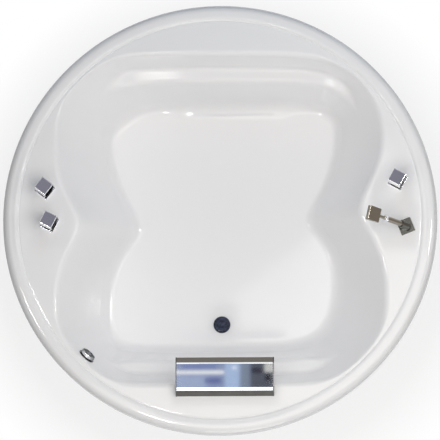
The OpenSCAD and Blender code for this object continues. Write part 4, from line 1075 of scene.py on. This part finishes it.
def makeKnob():
    r, front, s = overflow["knob"] / 2, overflow["front"], overflow["stem"] / 2
    face, end = front - overflow["knobLength"], overflow["stemEnd"]
    profile = [(0, end), (s, end), (s, front), (r - 1.2, front), (r, front - 1.2), (r, face + 3),
               (r - 0.9, face + 1.1), (r - 3, face + 0.2), (r - 6, face), (12, face), (11, face + 0.9),
               (9.5, face + 0.9), (8.5, face + 0.1), (4, face), (0, face)]
    piece = pieceFrom("overflow_knob_slotted", turnedShape(profile, 96), 40)
    addFinishes(piece, "shaded", "rubber")
    cuts = bmesh.new()
    width = overflow["slotWidth"]
    for k in range(overflow["slots"]):
        slotShape = roundedBlock(overflow["slotLength"], width, 2 * overflow["slotDepth"], width / 2 - 0.05, 0.05, 5, 1)
        angle = 360 * k / overflow["slots"] + overflow["slotTurn"]
        addShape(cuts, slotShape, turned(angle, "Z") @ placed(overflow["slotReach"], 0, face))
    cutter = pieceFrom("slotCutter", cuts)
    addFinishes(cutter, "rubber")
    cutWith(piece, cutter)
    piece.data.transform(overflowPlace())
    piece.data.set_sharp_from_angle(angle=math.radians(40))
    return settle(piece, node="overflow_knob")


def makeCupRings():
    shape = bmesh.new()
    for height in trap["rings"]:
        profile = [(trap["ringRadius"] + out, height + up) for out, up in trap["ringShape"]]
        addShape(shape, hoopShape(profile, 96), placed(wasteX, wasteY))
    return settle(pieceFrom("trap_cup_rings", shape), body="base",
                  material=finishes["wastePlastic"])


makePlug()
makeKnob()
dressNode("waste_flange", "drain", 1.4, 4)
dressNode("overflow_face", "paintedDark", 1.0, 3)
dressNodes(("waste_gasket", "overflow_gasket"), "rubber", 0.5, 3)
for node, width in (("waste_body", 1.2), ("trap_nut", 1.0), ("trap_cup", 2.0), ("trap_outlet", 1.0),
                    ("overflow_body", 1.2), ("overflow_pipe", 0)):
    dressNode(node, "wastePlastic", width, 3)
dressNode("plug_cable", "cable", 0)
makeCupRings()
print("waste and overflow fitted")

# Frame: rails, posts, threaded feet, weld beads and rail caps

supports = {"sideRail": 520, "sideFront": -300, "frontRail": -250, "middleRail": 250, "backRail": 450, "rail": 40,
            "post": 25, "postRadius": 865, "arm": 215, "armBack": -230, "frontPost": -728, "innerFoot": -120,
            "sideLow": 93, "crossLow": 133, "padRadius": 25, "padHeight": 8, "coneTop": 4, "coneHeight": 12,
            "stud": 12, "studIn": 35, "pitch": 1.75, "threadDepth": 0.9, "cap": 1.5}
beads = {"pitch": 2.6, "seamEnd": 2, "postRun": 10, "low": 4, "high": 36,
         "shape": ((0, -1.2), (1.6, -1), (2.4, -0.2), (2.2, 0.6), (1.2, 1.2), (0, 1.4))}
signs = (-1, 1)
side, arm = supports["sideRail"], supports["arm"]
frontPost, innerFoot, middleRail = supports["frontPost"], supports["innerFoot"], supports["middleRail"]
postY = math.sqrt(supports["postRadius"] ** 2 - side ** 2)
postX = math.sqrt(supports["postRadius"] ** 2 - middleRail ** 2)
footSpots = {"front_left_foot": (-arm, frontPost), "front_right_foot": (arm, frontPost),
             "back_left_foot": (-side, postY), "back_right_foot": (side, postY),
             "left_foot": (-postX, middleRail), "right_foot": (postX, middleRail),
             "inner_left_foot": (-side, innerFoot), "inner_right_foot": (side, innerFoot)}


def makeFoot(node, x, y):
    stud, pad, cone = supports["stud"] / 2, supports["padHeight"], supports["coneHeight"]
    lengths = {"Pad Radius": supports["padRadius"], "Pad Height": pad, "Cone Top": stud + supports["coneTop"],
               "Cone Height": cone, "Stud Radius": stud, "Pitch": supports["pitch"],
               "Stud Height": supports["sideLow"] + supports["studIn"] - pad - cone,
               "Thread Depth": supports["threadDepth"]}
    values = {label: length * mm for label, length in lengths.items()}
    values.update({"Pad Material": finishes["footPlastic"], "Stud Material": finishes["zinc"]})
    settle(runPattern(node + "_threaded", footTree, [(x * mm, y * mm, 0)], values), node=node)


def makeRailCaps():
    # a plastic cap closes each open end of the square tubes
    shape = bmesh.new()
    w, half, out = supports["rail"] - 1, supports["rail"] / 2, supports["cap"] / 2
    across, lengthways = turned(90, "Y"), turned(90, "X")
    ends = [((sx * (side + half + out), y, supports["crossLow"] + half), across)
            for y in (supports["frontRail"], supports["backRail"]) for sx in signs]
    for x, y in ((side, supports["sideFront"] - out), (arm, supports["armBack"] + out)):
        ends += [((sx * x, y, supports["sideLow"] + half), lengthways) for sx in signs]
    for spot, turn in ends:
        addShape(shape, roundedBlock(w, w, supports["cap"], 3, 0.5, 4, 2), placed(*spot) @ turn)
    return settle(pieceFrom("rail_end_caps", shape), body="base", material=finishes["footPlastic"])


def makeWelds():
    # short runs of overlapping beads where rails and posts meet
    points, facing = [], []

    def run(start, end, out):
        start, end = Vector(start), Vector(end)
        count = max(3, int((end - start).length / beads["pitch"]))
        for i in range(count + 1):
            points.append(start.lerp(end, i / count) * mm)
            facing.append(out)

    half, post, low, seam = supports["rail"] / 2, supports["post"] / 2, supports["sideLow"], supports["crossLow"]
    crossings = [(sx * side, y) for sx in signs for y in (supports["frontRail"], middleRail, supports["backRail"])]
    crossings += [(sx * arm, supports["frontRail"]) for sx in signs]
    reach = half - beads["seamEnd"]
    for x, y in crossings:
        for sy in signs:
            run((x - reach, y + sy * half, seam), (x + reach, y + sy * half, seam), (0, sy, -0.6))
    # posts on the ends of the side rails and of the front arms
    posts = [(sx * side, postY - post, -1) for sx in signs] + [(sx * arm, frontPost + post, 1) for sx in signs]
    for x, end, inward in posts:
        run((x - beads["postRun"], end, seam), (x + beads["postRun"], end, seam), (0, inward, 0.8))
        for dx in signs:
            run((x + dx * post, end, low + beads["low"]), (x + dx * post, end, low + beads["high"]), (dx, inward, 0))
    for sx in signs:
        for dy in signs:
            x, y = sx * (postX - post), middleRail + dy * post
            run((x, y, seam + 3), (x, y, seam + 37), (-sx, dy, 0))
    welds = scatterShape("weld_beads", "weldDrop", turnedShape(beads["shape"], 8), points, facing, "weld", 11, 60,
                         Smallest=0.75, Largest=1.15, Spin=6.2)
    return settle(welds, body="base")


dressNodes(("left_side_rail", "right_side_rail", "front_cross_rail", "middle_cross_rail", "back_cross_rail",
            "front_left_post", "front_right_post", "back_left_post", "back_right_post", "left_post", "right_post"),
           "paint", 0.9, 3)
dressNode("foot_lock_nuts", "zinc", 0.6, 2)
for node, (x, y) in footSpots.items():
    makeFoot(node, x, y)
makeRailCaps()
makeWelds()
print("frame fitted")

# Boards, their screws, and the ribs on the trap's nut

boards = ("front_deck_board", "back_deck_board", "left_deck_board", "right_deck_board", "base_board")
screws = {"head": 3.6, "height": 1.3, "inset": 16, "pitch": 120, "apart": 20, "offRail": 30,
          "baseTop": 180}


def boardScrews():
    points = []
    inset = screws["inset"] * mm
    for node in boards:
        low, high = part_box(node)
        for axis in (0, 1):
            other = 1 - axis
            length = high[axis] - low[axis] - 2 * inset
            count = max(1, round(length / (screws["pitch"] * mm)))
            for i in range(count + 1):
                for edge in (low[other] + inset, high[other] - inset):
                    spot = Vector((0, 0, low[2]))
                    spot[axis] = low[axis] + inset + length * i / count
                    spot[other] = edge
                    if all((spot - p).length > screws["apart"] * mm for p in points):
                        points.append(spot)
    # the base board's screws, the only ones below baseTop, keep clear of the cross rails
    rails = [supports[key] * mm for key in ("frontRail", "middleRail", "backRail")]
    points = [p for p in points
              if p.z > screws["baseTop"] * mm or min(abs(p.y - y) for y in rails) > screws["offRail"] * mm]
    r, high = screws["head"], screws["height"]
    head = turnedShape([(0, -1), (r - 0.4, -1), (r, 0), (r - 0.6, 0.7), (r - 1.8, high), (1.3, high), (1.0, 0.3),
                        (0, 0.2)], 12)
    piece = scatterShape("board_screws", "screwHead", head, points, [(0, 0, -1)] * len(points), "zinc", 5, Spin=3.0)
    return settle(piece, body="base")


def nutRibs():
    rib = roundedBlock(trap["ribHeight"], trap["ribWidth"], trap["ribDepth"], 1, 0.4, 2, 1)
    ways = [polar(1, 360 * k / trap["ribs"]) for k in range(trap["ribs"])]
    points = [Vector((wasteX + trap["ribRadius"] * x, wasteY + trap["ribRadius"] * y, trap["ribMiddle"])) * mm
              for x, y in ways]
    ribs = scatterShape("trap_nut_ribs", "ribBar", rib, points, [(x, y, 0) for x, y in ways], "wastePlastic", 2)
    return settle(ribs, body="base")


dressNode("base_board", "plywood", 0.7, 2)
dressNodes(boards[:-1], "plywood", 0.7, 2)
boardScrews()
nutRibs()
print("boards fitted")

# Pipes under the deck, with clips

clips = {"pipeRadius": 834, "high": 592, "low": 562, "pipe": 20, "strap": 2, "width": 14, "leg": 10,
         "foot": (30, 22, 3), "highAngles": (40, 90, 140), "lowAngles": (-15, -45)}


def makeClips():
    # a strap round the pipe, a leg up to the deck and a foot against it
    shape = bmesh.new()
    r, half, footHigh = clips["pipe"] / 2 + 0.1, clips["width"] / 2, clips["foot"][2]
    outer = r + clips["strap"]
    top = tub["deck"] - tub["wall"] - 0.4
    for level, angles in ((clips["high"], clips["highAngles"]), (clips["low"], clips["lowAngles"])):
        leg = top - level - r - 1
        for angle in angles:
            place = turned(angle, "Z") @ placed(clips["pipeRadius"], 0, level)
            strap = hoopShape([(r, -half), (outer, -half), (outer, half), (r, half)], 40)
            addShape(shape, strap, place @ turned(90, "X"))
            legBlock = roundedBlock(clips["leg"], clips["width"], leg, 2, 0.6, 3, 2)
            addShape(shape, legBlock, place @ placed(0, 0, r + 1 + leg / 2))
            footBlock = roundedBlock(*clips["foot"], 4, 0.8, 3, 2)
            addShape(shape, footBlock, place @ placed(0, 0, top - level - footHigh / 2))
    return settle(pieceFrom("pipe_clips", shape), body="base", material=finishes["wastePlastic"])


dressNodes(("mixed_pipe", "spout_pipe", "shower_pipe"), "pipe", 0.8, 2)
dressNode("mixing_tee", "valveBrass", 0.8, 2)
makeClips()
print("pipes fitted")

# Studio: floor, cards that only reflections see, and lamps

studio = {"floor": 40.0, "floorZ": -0.0006, "lampAim": (0, 0, 0.5), "cardHeight": 2.0, "tapCard": 0.2,
          "tapSpots": ((-0.7715, 0.338), (-0.7525, 0.198), (0.690, 0.366))}


def stagePlane(name, size, place, turn=(0, 0, 0)):
    shape = bmesh.new()
    half = size / 2
    corners = ((-half, -half), (half, -half), (half, half), (-half, half))
    shape.faces.new([shape.verts.new((x, y, 0)) for x, y in corners])
    bmesh.ops.transform(shape, verts=shape.verts, matrix=Matrix.Translation(place) @ turned(turn[2], "Z")
                        @ turned(turn[1], "Y") @ turned(turn[0], "X"))
    mesh = bpy.data.meshes.new(name)
    shape.to_mesh(mesh)
    shape.free()
    piece = linkObject(name, mesh)
    return piece


def seenDirectly(tree):
    # the camera's rays, and those by way of metal or glass
    path = tree.nodes.new("ShaderNodeLightPath").outputs
    return mathNode(tree, "MAXIMUM", path["Is Camera Ray"],
                    mathNode(tree, "MAXIMUM", path["Is Glossy Ray"], path["Is Transmission Ray"]))


def mixShaders(tree, factor, first, second, target):
    mix = tree.nodes.new("ShaderNodeMixShader")
    joinSockets(tree, (factor, mix.inputs[0]), (first.outputs[0], mix.inputs[1]), (second.outputs[0], mix.inputs[2]),
                (mix.outputs[0], tree.nodes[target].inputs["Surface"]))


def floorFinish():
    # pale floor that fades into the white background away from the tub
    material, tree = blankMaterial("paleFloor")
    shader = tree.nodes["Principled BSDF"]
    shader.inputs["Base Color"].default_value = (0.86, 0.86, 0.86, 1)
    shader.inputs["Roughness"].default_value = 0.8
    shader.inputs["Specular IOR Level"].default_value = 0.1
    glow = addNode(tree, "ShaderNodeEmission", Strength=1.0, Color=(1, 1, 1, 1))
    distance = addNode(tree, "ShaderNodeVectorMath", operation="LENGTH", Vector=objectSpace(tree, (1, 1, 0)))
    far = spread(tree, distance.outputs["Value"], 0.95, 1.2, (0.82, 1.0))
    mixShaders(tree, product(tree, seenDirectly(tree), far, clamp=True), shader, glow, "Material Output")
    return material


def cardFinish(name, base, patches):
    # soft-edged patches of painted reflection, each from x0 to x1 and y0 to y1, over a base tone
    material, tree = blankMaterial(name)
    tree.nodes.remove(tree.nodes["Principled BSDF"])
    spot = addNode(tree, "ShaderNodeSeparateXYZ", Vector=objectSpace(tree))

    def band(axis, low, high, soft):
        value = spot.outputs[axis]
        return product(tree, spread(tree, value, low - soft, low + soft), spread(tree, value, high + soft, high - soft))

    colour = base
    for x0, x1, y0, y1, soft, tone in patches:
        colour = mixColour(tree, product(tree, band("X", x0, x1, soft), band("Y", y0, y1, soft)), colour, tone)
    glow = addNode(tree, "ShaderNodeEmission", Strength=1.0, Color=colour)
    feed(tree, tree.nodes["Material Output"].inputs["Surface"], glow.outputs[0])
    return material


def addCard(name, size, place, turn, base, patches=()):
    card = stagePlane(name, size, place, turn)
    card.data.materials.append(cardFinish(name, base, patches))
    card.visible_camera = False
    card.visible_diffuse = False
    card.visible_transmission = False
    card.visible_shadow = False


def hangCard(name, spot, size, base, patches=()):
    addCard(name, size, (*spot, studio["cardHeight"]), (180, 0, 0), base, patches)


floor = stagePlane("paleFloor", studio["floor"], (0, 0, studio["floorZ"]))
floor.data.materials.append(floorFinish())
# cards that paint reflections on the chrome: dark ones over the taps, the shower holder and the plug, a patched one
# over the spout, and dim warm ones behind and to the right
for k, spot in enumerate(studio["tapSpots"]):
    hangCard("tapCard%d" % k, spot, studio["tapCard"], (0.25, 0.243, 0.295))
hangCard("showerCard", (0.723, 0.185), 0.2, (0.3, 0.29, 0.27))
hangCard("spoutCard", (-0.025, -0.355), 0.46, (0.3, 0.36, 0.56), [
    (-0.235, -0.1, -0.44, -0.38, 0.014, (0.42, 0.5, 0.7)),
    (-0.205, -0.06, -0.343, -0.328, 0.006, (0.18, 0.24, 0.52)),
    (-0.25, -0.026, -0.3695, -0.3535, 0.006, (1.1, 1.1, 1.1)),
    (-0.108, -0.04, -0.412, -0.388, 0.01, (0.13, 0.16, 0.38)),
    (-0.024, 0.042, -0.45, -0.3, 0.006, (0.47, 0.6, 0.84)),
    (0.008, 0.026, -0.347, -0.334, 0.005, (0.95, 1.0, 1.1)),
    (0.042, 0.084, -0.45, -0.3, 0.008, (0.24, 0.29, 0.38)),
    (0.084, 0.2, -0.45, -0.3, 0.008, (0.1, 0.11, 0.14)),
    (0.088, 0.138, -0.366, -0.341, 0.003, (0.03, 0.03, 0.05)),
    (0.145, 0.19, -0.362, -0.32, 0.005, (0.7, 0.7, 0.66)),
    (0.148, 0.172, -0.4, -0.37, 0.004, (0.01, 0.01, 0.015))])
hangCard("plugCard", (-0.07, -0.086), 0.14, (0.02, 0.025, 0.05))
addCard("backCard", 3.2, (0, 3.2, -0.3), (90, 0, 0), (0.2, 0.185, 0.165))
addCard("rightCard", 3.2, (3.4, 0, 1.2), (0, -90, 0), (0.5, 0.45, 0.4))


def addLamp(name, place, size, power, colour=(1, 1, 1)):
    data = bpy.data.lights.new(name, "AREA")
    data.shape = "RECTANGLE"
    data.size = data.size_y = size
    data.energy = power
    data.color = colour
    lamp = bpy.data.objects.new(name, data)
    bpy.context.scene.collection.objects.link(lamp)
    lamp.location = place
    lamp.rotation_euler = (Vector(studio["lampAim"]) - Vector(place)).to_track_quat("-Z", "Y").to_euler()
    lamp.visible_camera = False
    return lamp


addLamp("nearBox", (0.45, -0.55, 2.6), 1.8, 19, (1.0, 0.98, 0.93))
addLamp("topBox", (-0.1, 0.2, 3.6), 3.0, 20.5, (1.0, 0.94, 0.9))
addLamp("backBox", (0.2, 2.4, 2.6), 1.8, 9, (0.5, 0.72, 1.0)).visible_glossy = False
addLamp("rightBox", (2.4, 0.3, 2.2), 1.6, 7)
addLamp("leftFrontBox", (-0.9, -1.3, 2.4), 1.2, 3)
addLamp("lowFrontBox", (0.4, -3.6, 1.2), 1.6, 20)
# small lamps that show only as glints along the folds
for k, (place, power) in enumerate((((1.45, 0.1, 2.0), 7), ((-0.45, -0.9, 2.6), 9), ((-1.1, -0.25, 2.2), 5))):
    addLamp("glint%d" % k, place, 0.25, power).visible_diffuse = False


def buildWorld():
    world = bpy.data.worlds.new("whiteStudio")
    bpy.context.scene.world = world
    world.use_nodes = True
    tree = world.node_tree
    plain = tree.nodes["Background"]
    plain.inputs["Color"].default_value = (0.97, 0.98, 1.0, 1)
    plain.inputs["Strength"].default_value = 0.16
    white = addNode(tree, "ShaderNodeBackground", Strength=1.0, Color=(1, 1, 1, 1))
    mixShaders(tree, seenDirectly(tree), plain, white, "World Output")


buildWorld()
bpy.context.scene.view_settings.view_transform = "Standard"
print("studio set")
